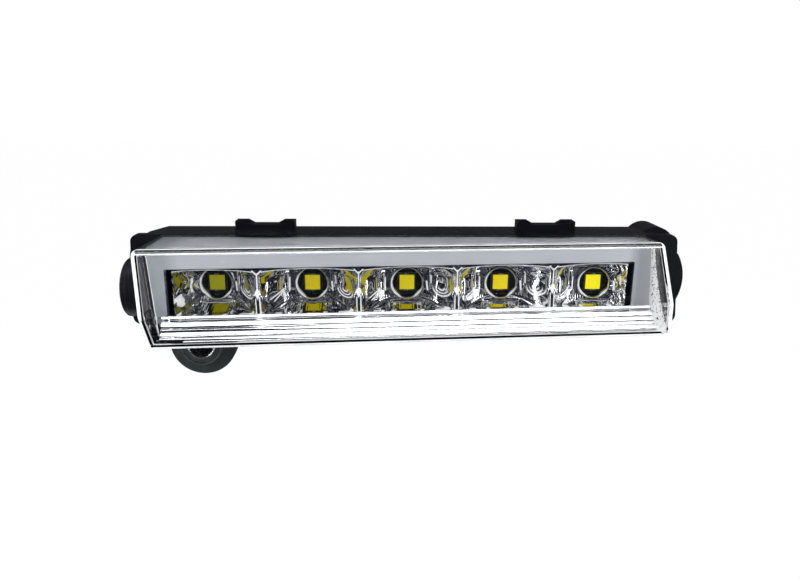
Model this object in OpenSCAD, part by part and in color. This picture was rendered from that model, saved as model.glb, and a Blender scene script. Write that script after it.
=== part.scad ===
// Daytime running light: a clear swept lens over five reflector cells, in a black housing.
// X runs to the right, Y to the back and Z up, in millimetres. The flange's front face is at
// Y = 0 and the lens is centred on X and Z, so everything in front of the flange has Y below 0.

/* [Lens] */
// Width of the lens where it stands on the flange
lens_w = 232; // [190:1:270]
// Height of the lens and of the flange behind it
lens_h = 43.6; // [38:0.2:52]
// Depth of the lens in front of the flange, at the middle
lens_depth = 32; // [29:0.5:36]
// Angle by which the front is swept back towards the right
sweep = 3.8; // [2:0.1:4.2]
// Angle by which the front's upper face leans back towards the top
rake = 13.3; // [10:0.1:15]
// How far below the middle the crease lies between the front's upper face and its chin
chin_drop = 5.4; // [4:0.2:8]
// How far the chin runs back from the plane of the upper face, at the lower edge
chin_in = 7.4; // [6:0.2:9]
// How far the lower front edge is shifted to the right of the upper one
lens_lean = 5.1; // [0:0.1:8]
// How much further out the lower front edge reaches at each end
lens_flare = 1.2; // [0:0.2:4]
// Wall of the lens
lens_wall = 2.5; // [2:0.1:3]
// Rounding of the lens's front edges
lens_round = 3; // [2.6:0.2:5]
// Corner radius of the lens at its foot
lens_foot_r = 4; // [3.5:0.5:6]
// Depth of the lens's tongue in the glue groove
tongue_depth = 1.8; // [1:0.1:2.2]

/* [Housing] */
// How far the flange's upper left corner stands out beyond the lens
flange_left_rim = 11.8; // [10:0.2:16]
// How far the flange's upper right corner stands out beyond the lens
flange_right_rim = 13.2; // [10:0.2:16]
// How much further out the flange's lower left corner lies
flange_left_flare = 2; // [0:0.2:4]
// How much further out the flange's lower right corner lies
flange_right_flare = 3; // [0:0.2:4]
// How far the flange's right edge bulges out
bulge_out = 3; // [2:0.2:4]
// Half the height of that bulge
bulge_half = 11.6; // [9:0.2:13]
// Thickness of the flange
flange_t = 4; // [3.6:0.2:5]
// Corner radius of the flange
flange_r = 3.6; // [2:0.2:6]
// How far the tub behind the flange stands out beyond the lens at each end
tub_rim = 5; // [4:0.5:7]
// Depth of the tub behind the flange's front face
tub_depth = 24; // [23:0.5:30]
// Thickness of the tub's rear wall
rear_wall = 2.5; // [2:0.1:3.5]
// How far the tub's ends slant in towards the back
end_slant = 5.5; // [2:0.5:8]
// Rounding of the tub's long rear edges
tub_round = 2.5; // [1:0.5:4]

/* [End boss] */
// Radius of the round boss at the left end
boss_r = 14; // [12:0.2:15]
// Depth of the boss's axis behind the flange's front face
boss_y = 6; // [4:0.5:8]
// Height of the boss's axis
boss_z = -5; // [-6:0.2:0]
// How far the boss stands out of the flange's upper left corner
boss_out = 4.4; // [3.8:0.2:8]

/* [Lower lug] */
// Distance of the lower lug's axis from the tub's left end
lug_in = 20; // [18:0.5:26]
// Distance of the lower lug's axis below the tub
lug_drop = 13.9; // [12:0.1:17]
// Outer radius of the lower lug
lug_r = 16.5; // [14:0.5:18]
// Front face of the lower lug, behind the flange's front face
lug_y = 12; // [10:0.5:14]
// Thickness of the lower lug
lug_t = 6; // [5:0.5:8]
// Radius of the bore in the lug's sleeve
lug_bore_r = 6; // [4:0.25:6.5]
// Wall of the sleeve
sleeve_wall = 1; // [0.8:0.1:1.5]
// Wall of the grommet's collar in front of the lug
collar_wall = 3.4; // [2.4:0.2:5]
// Length of the grommet's collar in front of the lug
collar_len = 4; // [3:0.2:6]

/* [Upper boss] */
// Distance of the upper boss's axis from the tub's right end
upper_in = -0.5; // [-2:0.1:2]
// Distance of the upper boss's axis below the tub's top
upper_drop = 7.2; // [3:0.1:8]
// Radius of the upper boss
upper_r = 9.5; // [8:0.5:10]
// How far the upper boss reaches behind the tub
upper_out = 2; // [1:0.5:4]
// Radius of the bore in the threaded insert
insert_bore_r = 2.5; // [2:0.1:2.8]
// Length of the threaded insert
insert_len = 10; // [6:0.5:11]

/* [Clips] */
// Distance of each retaining clip's middle from the lens's end
clip_in = 51; // [42:0.5:60]
// Width of a retaining clip
clip_w = 27; // [22:1:30]
// Wall of a retaining clip
clip_wall = 1; // [0.8:0.1:1.4]
// How far the tabs under the clips stand above the lens
tab_rise = 4; // [3:0.5:6]

/* [Bezel and reflector] */
// Distance of the window in the bezel from the lens's ends
window_side = 11; // [10:0.5:14]
// Height of the window in the bezel
window_h = 22.6; // [20:0.2:24]
// Height of the window's middle
window_z = 0.3; // [-1:0.1:1]
// Distance of the bezel's face behind the lens's front
bezel_back = 14.8; // [13:0.2:16]
// Thickness of the bezel
bezel_t = 1.6; // [1.2:0.1:2]
// How far the bright ledge below the window stands out of the bezel
ledge_reach = 7.6; // [6:0.2:9]
// Number of steps in that ledge
ledge_steps = 4; // [2:1:6]
// How far the reflector's ends lie inside the window
reflector_in = 2; // [1.5:0.5:5]
// Distance of the first and last light sources from the reflector's ends
end_cell = 13.4; // [12.8:0.2:18]
// Height of the light sources' middle
led_z = -1.4; // [-2:0.1:0]

/* [Electrics] */
// Side of the square emitter
emitter = 7; // [5:0.5:7.5]
// Side of a light source's square carrier
carrier = 9; // [8:0.5:9.4]
// Thickness of the light-source board
board_t = 1.6; // [1:0.1:2]
// Thickness of the heat spreader behind the board
spreader_t = 3; // [2:0.5:3.5]
// Depth of the heat sink's fins
fin_depth = 9; // [6:0.5:14]
// Thickness of a fin
fin_t = 1.8; // [1.4:0.1:2.4]
// Distance from one fin to the next
fin_pitch = 8; // [6:0.5:12]
// Distance of the connector's middle from the tub's right end
plug_in = 37; // [36:0.5:42]
// Length of the connector's shroud behind the tub
plug_len = 14; // [12:0.5:18]

/* [Hidden] */
$fn = 64;
eps = 0.01;
corner_fn = 32;
cells = 5;

// Fits
slip = 0.2;
glue = 0.3;
part_clear = 0.8;

// Lens foot, tongue and glue groove
tongue_in = 1.2;
tongue_t = lens_wall - tongue_in;
groove_depth = tongue_depth + 0.8;
tab_w = clip_w - 3;
tab_t = 2;
rear_tab_t = 3;

// Cavity of the tub, inside the glue groove with a lip between them
lip = 0.9;
cavity_in = tongue_in + tongue_t + glue + lip;
cavity_w = lens_w - 2 * cavity_in;
cavity_h = lens_h - 2 * cavity_in;
cavity_r = lens_foot_r - cavity_in + 1;
cavity_y = tub_depth - rear_wall;
straight_end = 8;

// Flange, tub and how far the end boss is rooted in the tub
flange_left = -lens_w / 2 - flange_left_rim;
flange_right = lens_w / 2 + flange_right_rim;
tub_w = lens_w + 2 * tub_rim;
boss_root = end_slant + 0.5;
boss_collar = 0.6;
boss_chamfer = 0.6;
// Clear length of the boss, from its collar to its chamfer
boss_clear = 1.6;
boss_gap = 0.3;
gusset_drop = 7.4;

// Lower lug, its sleeve and grommet
lug_x = lug_in - tub_w / 2;
lug_z = -lens_h / 2 - lug_drop;
lug_rib_t = 2.4;
sleeve_r = lug_bore_r + sleeve_wall;
waist_r = sleeve_r + 1.5;
collar_r = sleeve_r + collar_wall;
lip_t = 2;
sleeve_proud = 0.2;

// Upper boss
upper_x = tub_w / 2 - upper_in;
upper_z = lens_h / 2 - upper_drop;
upper_y = 8;
blend_r = 2;
insert_r = insert_bore_r + 1.5;
insert_floor = 1;

// Retaining clips: raised horns at both ends with a notch between them
clip_x = lens_w / 2 - clip_in;
clip_foot = 0.2;
horn_rise = 1.6;
horn_w = 5.2;
horn_slope = 2.8;

// Bezel
bezel_gap = 0.6;
bezel_in = lens_wall + bezel_gap;
window_w = lens_w - 2 * window_side;
ledge_top = window_z - window_h / 2;
ledge_drop = (lens_h / 2 - bezel_in + ledge_top) / ledge_steps;
ledge_run = ledge_reach / ledge_steps;

// Light sources, board and heat spreader, stacked from the front to the back
led_x = 0.4;
emit_y = 1;
phosphor_t = 0.4;
carrier_t = 1;
board_y = emit_y + phosphor_t + carrier_t;
spreader_y = board_y + board_t;
behind_y = spreader_y + spreader_t;
board_gap = 1.8;
reflector_h = window_h + 2.4;
board_w = cavity_w - 2 * board_gap;
board_h = reflector_h + 2;
board_r = 2;
screw_edge = 2.7;
spreader_screw_x = board_w / 2 - screw_edge;
spreader_screw_z = board_h / 2 - 3.5;
spreader_grip = 7;
post_r = 3.5;

// Reflector: its back lies on the board and its face just behind the bezel
reflector_w = window_w - 2 * reflector_in;
reflector_back = bezel_back + bezel_t + 0.3;
reflector_y = board_y - 0.2;
pitch = (reflector_w - 2 * end_cell) / (cells - 1);
divider_t = 2;
trough_floor = reflector_y - 1.6;
trough_half = window_h / 2 - 0.4;
trough_points = 16;
trough_over = 1.15;
cup_r = carrier / sqrt(2) + 0.6;
cup_flare = 3;
cup_depth = 6;
flute_r = 0.9;
flute_gap = 1.4;
flute_step = 2.6;
flute_end = 3;
flutes = 4;
pilot_r = 1;
pilot_depth = 6;
pilot_z = reflector_h / 2 - 2.9;

// Heat sink: a neck through the rear wall, a plate outside and fins
plate_left_in = 14;
plate_to_plug = 23;
plate_side = 4.8;
plate_x0 = plate_left_in - tub_w / 2;
plate_x1 = tub_w / 2 - plug_in - plate_to_plug;
plate_h = lens_h - 2 * plate_side;
plate_t = 3;
plate_r = 4;
neck_in = 15;
neck_x0 = plate_x0 + neck_in;
neck_x1 = plate_x1 - neck_in;
// the neck goes in between the two rows of the reflector's screws
neck_side = 4.5;
neck_h = reflector_h - 2 * neck_side;
opening_gap = 0.4;
gasket_t = 1;
gasket_gap = 0.6;
plate_y = tub_depth + gasket_t;
fin_h = plate_h - 13;
fin_margin = 6;
sink_screw_in = 5;
sink_screw_x = [plate_x0 + sink_screw_in, (plate_x0 + plate_x1) / 2, plate_x1 - sink_screw_in];
sink_screw_z = plate_h / 2 - 3.5;
sink_post = 6.5;
sink_grip = 7;
pocket_w = 22;
pocket_web = 5;

// Screws
screw_r = 1.5;
screw_head_r = 2.5;
screw_head_t = 1.6;
cross_t = 0.6;
cross_depth = 0.7;
small_screw_r = 1.2;
small_head_r = 2.2;

// Driver board on two posts on the rear wall
driver_x0 = sink_screw_x[2] + post_r + part_clear;
driver_x1 = spreader_screw_x - post_r - part_clear;
driver_z0 = 2.1 - cavity_h / 2;
driver_z1 = cavity_h / 2 - 4.1;
driver_post = 4;
driver_t = 1.6;
driver_y = cavity_y - driver_post - driver_t;
driver_screw_in = 4;
driver_screw_x = [driver_x0 + driver_screw_in, driver_x1 - driver_screw_in];
driver_screw_z = driver_z1 - driver_screw_in;
driver_post_r = 2.8;
// Height that parts on the driver board may have, in front of it
part_room = driver_y - behind_y - screw_head_t - part_clear;
coil_x = driver_x0 + 9;
coil_z = driver_z0 + 11;
coil_r = 7;
coil_core_r = 6;
winding_t = 0.6;
winding_step = 1.5;
capacitor_r = 3.2;
capacitor_x = [driver_x0 + 21, driver_x0 + 29];
chip_x = driver_x0 + 19;
chip_z = driver_z0 + 2;
chip_w = 9;
chip_h = 7;
chip_t = 1.8;

// Connector and vent
plug_x = tub_w / 2 - plug_in;
plug_z = driver_z0 + 11;
capacitor_z = plug_z + 7;
plug_w = 22;
plug_h = 15;
plug_wall = 1.6;
plug_flange = 2;
plug_flange_t = 2;
plug_seal_t = 0.6;
plug_root_w = 15;
plug_root_h = 8;
plug_floor = 1;
latch_w = 8;
latch_len = 4;
latch_rise = 1.6;
pin_side = 0.9;
pin_count = 4;
pin_pitch = 3.2;
pin_proud = 0.8;
pin_back = 4;
vent_r = 4.6;
vent_t = 3;
vent_stem_r = 2.4;
vent_slot = 1.4;
vent_x = plug_x + plug_w / 2 + plug_flange + vent_r + 1.9;

// Y of the plane that lies "back" behind the lens's front face
function front_y(x, z, back) = back - lens_depth + tan(sweep) * x + tan(rake) * z;
// The same plane without the rake, for the parts behind the lens
function sweep_y(x, back) = back - lens_depth + tan(sweep) * x;
// Middle of light source k, counted from the left
function cell_x(k) = led_x + (k - (cells + 1) / 2) * pitch;
// Half-width of the reflector cell k to the left (-1) or right (+1) of its light source
function cell_edge(k, side) = let (x = cell_x(k) + side * (pitch - divider_t) / 2)
    side < 0 ? max(x, -reflector_w / 2 + divider_t) : min(x, reflector_w / 2 - divider_t);

// Rectangle with round corners, centred
module rounded(w, h, r) {
    square([w - 2 * r, h], center = true);
    square([w, h - 2 * r], center = true);
    for (x = [-1, 1], z = [-1, 1]) translate([x * (w / 2 - r), z * (h / 2 - r)]) circle(r);
}

// Extrudes an outline drawn in X and Z from y0 back to y1
module slab(y0, y1) translate([0, y1, 0]) rotate([90, 0, 0]) linear_extrude(y1 - y0) children();

// Round bar along Y
module rod(x, z, r, y0, y1) translate([x, y1, z]) rotate([90, 0, 0]) cylinder(r = r, h = y1 - y0);

// Round bar along X
module axle(r0, r1, x0, x1) translate([x0, boss_y, boss_z]) rotate([0, 90, 0])
    cylinder(r1 = r0, r2 = r1, h = x1 - x0);

// The lens's outer form, or a form "inset" inside it: its foot, two upper corners, the two ends
// of the crease and two lower corners, each a ball
module lens_form(inset, foot_y) {
    r = max(lens_round - inset, 0.5);
    top = lens_h / 2 - inset - r;
    hull() {
        slab(-eps, foot_y)
            rounded(lens_w - 2 * inset, lens_h - 2 * inset, max(lens_foot_r - inset, 1));
        for (sx = [-1, 1], z = [top, -chin_drop, -top]) {
            low = (top - z) / (2 * top);
            x = sx * (lens_w / 2 - inset - r + lens_flare * low) + lens_lean * low;
            y = front_y(x, z, inset) + (z == -top ? chin_in : 0);
            translate([x, y + r, z]) sphere(r, $fn = corner_fn);
        }
    }
}

// Tabs along the upper and lower rims, which the clips hold together
module clip_tabs(y0, y1)
    for (x = [-clip_x, clip_x], side = [-1, 1])
        translate([x - tab_w / 2, y0, side > 0 ? lens_h / 2 - 1 : -lens_h / 2 - tab_rise])
            cube([tab_w, y1 - y0, tab_rise + 1]);

// Ring that follows the lens's foot, from "outer" to "inner" inside its outline
module foot_ring(outer, inner, y0, y1)
    slab(y0, y1) difference() {
        rounded(lens_w - 2 * outer, lens_h - 2 * outer, lens_foot_r - outer);
        rounded(lens_w - 2 * inner, lens_h - 2 * inner, lens_foot_r - inner);
    }

module lens() color([0.85, 0.9, 0.93, 0.4]) {
    difference() {
        union() {
            lens_form(0, 0);
            clip_tabs(-tab_t, 0);
        }
        lens_form(lens_wall, 1);
    }
    foot_ring(tongue_in, tongue_in + tongue_t, -eps, tongue_depth);
}

// Bead of glue in the groove, all round the tongue
module lens_seal() color("dimgray") difference() {
    foot_ring(tongue_in - glue, tongue_in + tongue_t + glue, 0, groove_depth);
    foot_ring(tongue_in, tongue_in + tongue_t, -1, tongue_depth);
}

module tub_form()
    intersection() {
        linear_extrude(lens_h, center = true)
            polygon([[-tub_w / 2, 1], [-tub_w / 2, straight_end], [end_slant - tub_w / 2, tub_depth],
                [tub_w / 2 - end_slant, tub_depth], [tub_w / 2, straight_end], [tub_w / 2, 1]]);
        rotate([90, 0, 90]) linear_extrude(tub_w + 2, center = true)
            translate([tub_depth / 2, 0]) rounded(tub_depth, lens_h, tub_round);
    }

// The flange's outline: a four-sided plate with round corners that widens downwards
module flange_outline() {
    top = lens_h / 2;
    r = flange_r;
    low_left = flange_left - flange_left_flare;
    low_right = flange_right + flange_right_flare;
    turn_left = atan(flange_left_flare / (2 * (top - r)));
    turn_right = atan(flange_right_flare / (2 * (top - r)));
    left = [r * cos(turn_left), r * sin(turn_left)];
    right = [r * cos(turn_right), r * sin(turn_right)];
    polygon([[flange_left + r, top], [flange_right - r, top],
        [flange_right - r + right[0], top - r + right[1]], [low_right - r + right[0], r - top + right[1]],
        [low_right - r, -top], [low_left + r, -top],
        [low_left + r - left[0], r - top + left[1]], [flange_left + r - left[0], top - r + left[1]]]);
    for (x = [flange_left + r, flange_right - r]) translate([x, top - r]) circle(r);
    for (x = [low_left + r, low_right - r]) translate([x, r - top]) circle(r);
}

// Bulge of the flange's right edge, as far as a round of this radius stands out of it
module flange_bulge() {
    bulge_r = (bulge_half * bulge_half + bulge_out * bulge_out) / (2 * bulge_out);
    edge = flange_right + flange_right_flare / 2;
    intersection() {
        translate([edge + bulge_out - bulge_r, 0]) circle(bulge_r);
        translate([edge - bulge_out, -bulge_half - 1]) square([2 * bulge_out + 1, 2 * bulge_half + 2]);
    }
}

// Left boss with a chamfer and a collar, cut clear of the lens, and a gusset up to the flange
module left_boss() {
    x_end = flange_left - boss_out;
    x_collar = x_end + boss_chamfer + boss_clear;
    x_full = x_collar + boss_collar;
    gusset_top = boss_z + boss_r + boss_collar + gusset_drop;
    difference() {
        union() {
            axle(boss_r - boss_chamfer, boss_r, x_end, x_end + boss_chamfer);
            axle(boss_r, boss_r, x_end + boss_chamfer, x_collar + 1);
            axle(boss_r, boss_r + boss_collar, x_collar, x_full);
            axle(boss_r + boss_collar, boss_r + boss_collar, x_full, boss_root - tub_w / 2);
        }
        translate([-lens_w / 2 - boss_gap, -lens_h, -lens_h]) cube([lens_h, lens_h, 2 * lens_h]);
    }
    slab(1, flange_t) polygon([[flange_left + 2, gusset_top], [flange_left, gusset_top],
        [x_full, gusset_top - gusset_drop], [x_full, boss_z + boss_r - 2],
        [flange_left + 2, boss_z + boss_r - 2]]);
}

// Lower lug on a web, with two ribs up to the tub's underside
module lower_lug() color([0.05, 0.05, 0.055]) difference() {
    union() {
        rod(lug_x, lug_z, lug_r, lug_y, lug_y + lug_t);
        translate([lug_x - lug_r, lug_y, lug_z]) cube([2 * lug_r, lug_t, lug_drop]);
        for (x = [lug_x - lug_r, lug_x + lug_r - lug_rib_t]) translate([x, 0, 0])
            rotate([90, 0, 90]) linear_extrude(lug_rib_t)
                polygon([[lug_y + lug_t - 1, lug_z + 2], [lug_y + lug_t - 1, -lens_h / 2],
                    [tub_depth - tub_round, -lens_h / 2], [tub_depth - tub_round, -lens_h / 2 - 1]]);
    }
    rod(lug_x, lug_z, waist_r, lug_y - 1, lug_y + lug_t + 1);
    // flat top against the tub
    translate([lug_x - lug_r - 1, 0, -lens_h / 2]) cube([2 * lug_r + 2, tub_depth, lug_r]);
}

// Upper boss at the right, with a hollow blend onto the tub's top
module upper_boss() color([0.05, 0.05, 0.055]) difference() {
    rise = lens_h / 2 + blend_r - upper_z;
    blend_x = upper_x - sqrt(pow(upper_r + blend_r, 2) - rise * rise);
    union() {
        rod(upper_x, upper_z, upper_r, upper_y, tub_depth + upper_out);
        slab(upper_y, tub_depth - tub_round) difference() {
            polygon([[blend_x, lens_h / 2], [upper_x, lens_h / 2], [upper_x, upper_z + upper_r - 1],
                [blend_x + (upper_x - blend_x) * blend_r / (upper_r + blend_r),
                    lens_h / 2 + blend_r - rise * blend_r / (upper_r + blend_r)],
                [blend_x, lens_h / 2 + blend_r / 2]]);
            translate([blend_x, lens_h / 2 + blend_r]) circle(blend_r);
        }
    }
    rod(upper_x, upper_z, insert_r, tub_depth + upper_out - insert_len, tub_depth + upper_out + 1);
}

module housing() color([0.05, 0.05, 0.055]) difference() {
    union() {
        slab(0, flange_t) {
            flange_outline();
            flange_bulge();
        }
        tub_form();
        left_boss();
        clip_tabs(0, rear_tab_t);
    }
    difference() {
        slab(-1, cavity_y) rounded(cavity_w, cavity_h, cavity_r);
        for (x = [-spreader_screw_x, spreader_screw_x], z = [-spreader_screw_z, spreader_screw_z])
            rod(x, z, post_r, behind_y, cavity_y + 1);
        for (x = driver_screw_x) rod(x, driver_screw_z, driver_post_r, driver_y + driver_t, cavity_y + 1);
        for (x = sink_screw_x, z = [-sink_screw_z, sink_screw_z]) rod(x, z, post_r, cavity_y - sink_post, cavity_y + 1);
    }
    foot_ring(tongue_in - glue, tongue_in + tongue_t + glue, -1, groove_depth);
    // opening for the heat sink's neck
    translate([neck_x0 - opening_gap, cavity_y - 1, -neck_h / 2 - opening_gap])
        cube([neck_x1 - neck_x0 + 2 * opening_gap, rear_wall + 2, neck_h + 2 * opening_gap]);
    // opening for the connector's root
    translate([plug_x - plug_root_w / 2 - slip, cavity_y - 1, plug_z - plug_root_h / 2 - slip])
        cube([plug_root_w + 2 * slip, rear_wall + 2, plug_root_h + 2 * slip]);
    rod(vent_x, 0, vent_stem_r, cavity_y - 1, tub_depth + 1);
    // seat of the upper boss
    rod(upper_x, upper_z, upper_r, upper_y, tub_depth + upper_out + 1);
    for (x = sink_screw_x, z = [-sink_screw_z, sink_screw_z])
        rod(x, z, screw_r, tub_depth - sink_grip, tub_depth + 1);
    for (x = [-spreader_screw_x, spreader_screw_x], z = [-spreader_screw_z, spreader_screw_z])
        rod(x, z, screw_r, behind_y - 1, behind_y + spreader_grip + 1);
    for (x = driver_screw_x)
        rod(x, driver_screw_z, small_screw_r, driver_y - 1, cavity_y + 1);
}

// Strip in plan view from "back0" to "back1" behind the lens's front, from x0 to x1
module strip(x0, x1, back0, back1, z0, z1)
    translate([0, 0, z0]) linear_extrude(z1 - z0)
        polygon([[x0, sweep_y(x0, back0)], [x1, sweep_y(x1, back0)],
            [x1, sweep_y(x1, back1)], [x0, sweep_y(x0, back1)]]);

// Silver frame inside the lens: face with a window, stepped ledge below it, and a skirt
module bezel() color("silver") {
    reach = lens_w / 2 + lens_lean + lens_flare;
    intersection() {
        lens_form(bezel_in, 0);
        union() {
            difference() {
                strip(-reach, reach, bezel_back, bezel_back + bezel_t, -lens_h / 2, lens_h / 2);
                translate([-window_w / 2, -2 * lens_depth, ledge_top]) cube([window_w, 4 * lens_depth, window_h]);
            }
            for (k = [1 : ledge_steps])
                strip(-window_w / 2 - 2, window_w / 2 + 3, bezel_back - k * ledge_run, bezel_back + eps,
                    -lens_h / 2, ledge_top - (k - 1) * ledge_drop);
        }
    }
    difference() {
        intersection() {
            lens_form(bezel_in, 0);
            strip(-reach, reach, bezel_back, 3 * lens_depth, -lens_h / 2, lens_h / 2);
        }
        lens_form(bezel_in + bezel_t, 1);
    }
}

// Half-width of the round cup at the depth y
function cup_at(y) = cup_r + cup_flare * sqrt(max(0, (reflector_y - y) / cup_depth));

// One cell of the reflector, as the space that is cut out of the block
module cell_space(k) {
    x = cell_x(k);
    depth = trough_floor - sweep_y(x, reflector_back);
    translate([cell_edge(k, -1), 0, 0]) rotate([90, 0, 90])
        linear_extrude(cell_edge(k, 1) - cell_edge(k, -1))
            polygon([for (i = [-trough_points : trough_points]) let (t = trough_over * i / trough_points)
                [trough_floor - depth * t * t, window_z + trough_half * t]]);
    // round cup behind the trough, open at the board for the light source
    translate([x, reflector_y, led_z]) rotate([90, 0, 0]) rotate_extrude()
        polygon(concat([[0, -1], [cup_r, -1]],
            [for (y = [0 : 0.5 : cup_depth]) [cup_at(reflector_y - y), y]], [[0, cup_depth]]));
}

// Upright ribs in the trough at both sides of a cup
module cell_flutes(k) {
    x = cell_x(k);
    for (side = [-1, 1], j = [0 : flutes - 1]) {
        fx = x + side * (cup_r + cup_flare + flute_gap + j * flute_step);
        if (fx > cell_edge(k, -1) && fx < cell_edge(k, 1))
            translate([fx, trough_floor + 0.2, window_z])
                cylinder(r = flute_r, h = 2 * (trough_half - flute_end), center = true);
    }
}

module reflector() color("lightgray") difference() {
    union() {
        difference() {
            translate([0, 0, window_z - reflector_h / 2]) linear_extrude(reflector_h)
                polygon([[-reflector_w / 2, reflector_y], [reflector_w / 2, reflector_y],
                    [reflector_w / 2, sweep_y(reflector_w / 2, reflector_back)],
                    [-reflector_w / 2, sweep_y(-reflector_w / 2, reflector_back)]]);
            for (k = [1 : cells]) cell_space(k);
        }
        for (k = [1 : cells]) cell_flutes(k);
    }
    reflector_holes(pilot_r, reflector_y - pilot_depth, reflector_y + 1);
}

// Screw places behind the dividers
module reflector_holes(r, y0, y1)
    for (k = [1 : cells - 1], z = [-pilot_z, pilot_z])
        rod(cell_x(k) + pitch / 2, window_z + z, r, y0, y1);

module spreader_holes(r, y0, y1)
    for (x = [-spreader_screw_x, spreader_screw_x], z = [-spreader_screw_z, spreader_screw_z])
        rod(x, z, r, y0, y1);

module led_board() color([0.1, 0.12, 0.16]) difference() {
    slab(board_y, board_y + board_t) rounded(board_w, board_h, board_r);
    reflector_holes(small_screw_r + slip, board_y - 1, board_y + board_t + 1);
    spreader_holes(screw_r + slip, board_y - 1, board_y + board_t + 1);
}

module heat_spreader() color("gainsboro") difference() {
    slab(spreader_y, behind_y) rounded(board_w, board_h, board_r);
    reflector_holes(small_screw_r + slip, spreader_y - 1, behind_y + 1);
    spreader_holes(screw_r + slip, spreader_y - 1, behind_y + 1);
}

// Square carrier of a light source
module led(k) color("ivory")
    translate([cell_x(k) - carrier / 2, board_y - carrier_t, led_z - carrier / 2])
        cube([carrier, carrier_t, carrier]);

// Yellow emitter on the carrier
module phosphor(k) color("gold")
    translate([cell_x(k) - emitter / 2, emit_y, led_z - emitter / 2])
        cube([emitter, phosphor_t, emitter]);

// Pan-head screw along Y with its head at the front (dir = 1) or at the back (dir = -1)
module screw(x, z, y, len, r, head_r, dir) {
    rod(x, z, r, dir > 0 ? y : y - len, dir > 0 ? y + len : y);
    difference() {
        rod(x, z, head_r, dir > 0 ? y - screw_head_t : y, dir > 0 ? y : y + screw_head_t);
        for (a = [0, 90]) translate([x, y - dir * screw_head_t, z]) rotate([0, a, 0])
            cube([head_r * 1.2, 2 * cross_depth, cross_t], center = true);
    }
}

module spreader_screws() color("silver")
    for (x = [-spreader_screw_x, spreader_screw_x], z = [-spreader_screw_z, spreader_screw_z])
        screw(x, z, board_y, board_t + spreader_t + spreader_grip, screw_r - eps, screw_head_r, 1);

module reflector_screws() color("silver")
    for (k = [1 : cells - 1], z = [-pilot_z, pilot_z])
        screw(cell_x(k) + pitch / 2, window_z + z, behind_y,
            behind_y - reflector_y + pilot_depth - 1, pilot_r - eps, small_head_r, -1);

// Outline of the heat sink's plate
module plate_outline() translate([(plate_x0 + plate_x1) / 2, 0]) rounded(plate_x1 - plate_x0, plate_h, plate_r);

// Outline of the opening for the neck, "grow" larger all round
module neck_outline(grow) translate([(neck_x0 + neck_x1) / 2, 0])
    square([neck_x1 - neck_x0 + 2 * grow, neck_h + 2 * grow], center = true);

module sink_holes(r, y0, y1)
    for (x = sink_screw_x, z = [-sink_screw_z, sink_screw_z]) rod(x, z, r, y0, y1);

module heat_sink() color("darkgray") difference() {
    union() {
        slab(plate_y, plate_y + plate_t) plate_outline();
        slab(behind_y, plate_y + eps) neck_outline(0);
        fins = floor((plate_x1 - plate_x0 - 2 * fin_margin) / fin_pitch);
        x_first = (plate_x0 + plate_x1 - fins * fin_pitch - fin_t) / 2;
        for (k = [0 : fins]) translate([x_first + k * fin_pitch, plate_y + plate_t - eps, -fin_h / 2])
            cube([fin_t, fin_depth, fin_h]);
    }
    sink_holes(screw_r + slip, plate_y - 1, plate_y + plate_t + 1);
    // pockets that thin the neck to webs, clear of the reflector's screw heads
    for (x = [neck_x0 + pocket_web : pocket_w + pocket_web : neck_x1 - pocket_w - pocket_web])
        translate([x, behind_y - 1, -neck_h / 2 - 1]) cube([pocket_w, plate_y - behind_y - plate_t, neck_h + 2]);
}

module heat_sink_gasket() color([0.2, 0.2, 0.2]) difference() {
    slab(tub_depth, tub_depth + gasket_t) difference() {
        plate_outline();
        neck_outline(opening_gap + gasket_gap);
    }
    sink_holes(screw_r + slip, tub_depth - 1, tub_depth + gasket_t + 1);
}

module heat_sink_screws() color("silver")
    for (x = sink_screw_x, z = [-sink_screw_z, sink_screw_z])
        screw(x, z, plate_y + plate_t, plate_t + gasket_t + sink_grip - 1, screw_r - eps, screw_head_r, -1);

module driver_board() color("darkgreen") difference() {
    translate([driver_x0, driver_y, driver_z0]) cube([driver_x1 - driver_x0, driver_t, driver_z1 - driver_z0]);
    for (x = driver_screw_x) rod(x, driver_screw_z, small_screw_r + slip, driver_y - 1, driver_y + driver_t + 1);
    pin_places(pin_side + slip, driver_y - 1, driver_y + driver_t + 1);
}

module driver_screws() color("silver") for (x = driver_screw_x)
    screw(x, driver_screw_z, driver_y, driver_t + driver_post, small_screw_r - eps, small_head_r, 1);

// Drum core with windings between its two flanges
module driver_coil() color("saddlebrown") {
    rod(coil_x, coil_z, coil_core_r - 1, driver_y - part_room, driver_y);
    for (y = [0, part_room - 1]) rod(coil_x, coil_z, coil_r, driver_y - y - 1, driver_y - y);
    for (y = [winding_step : winding_step : part_room - 2])
        rod(coil_x, coil_z, coil_core_r, driver_y - y - winding_t, driver_y - y);
}

module driver_capacitors() color("navy") for (x = capacitor_x)
    rod(x, capacitor_z, capacitor_r, driver_y - part_room, driver_y);

module driver_chip() color([0.1, 0.1, 0.1])
    translate([chip_x, driver_y - chip_t, chip_z]) cube([chip_w, chip_t, chip_h]);

// Square holes or pins of the connector
module pin_places(side, y0, y1)
    for (k = [0 : pin_count - 1])
        translate([plug_x + (k - (pin_count - 1) / 2) * pin_pitch - side / 2, y0, plug_z - side / 2])
            cube([side, y1 - y0, side]);

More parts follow.
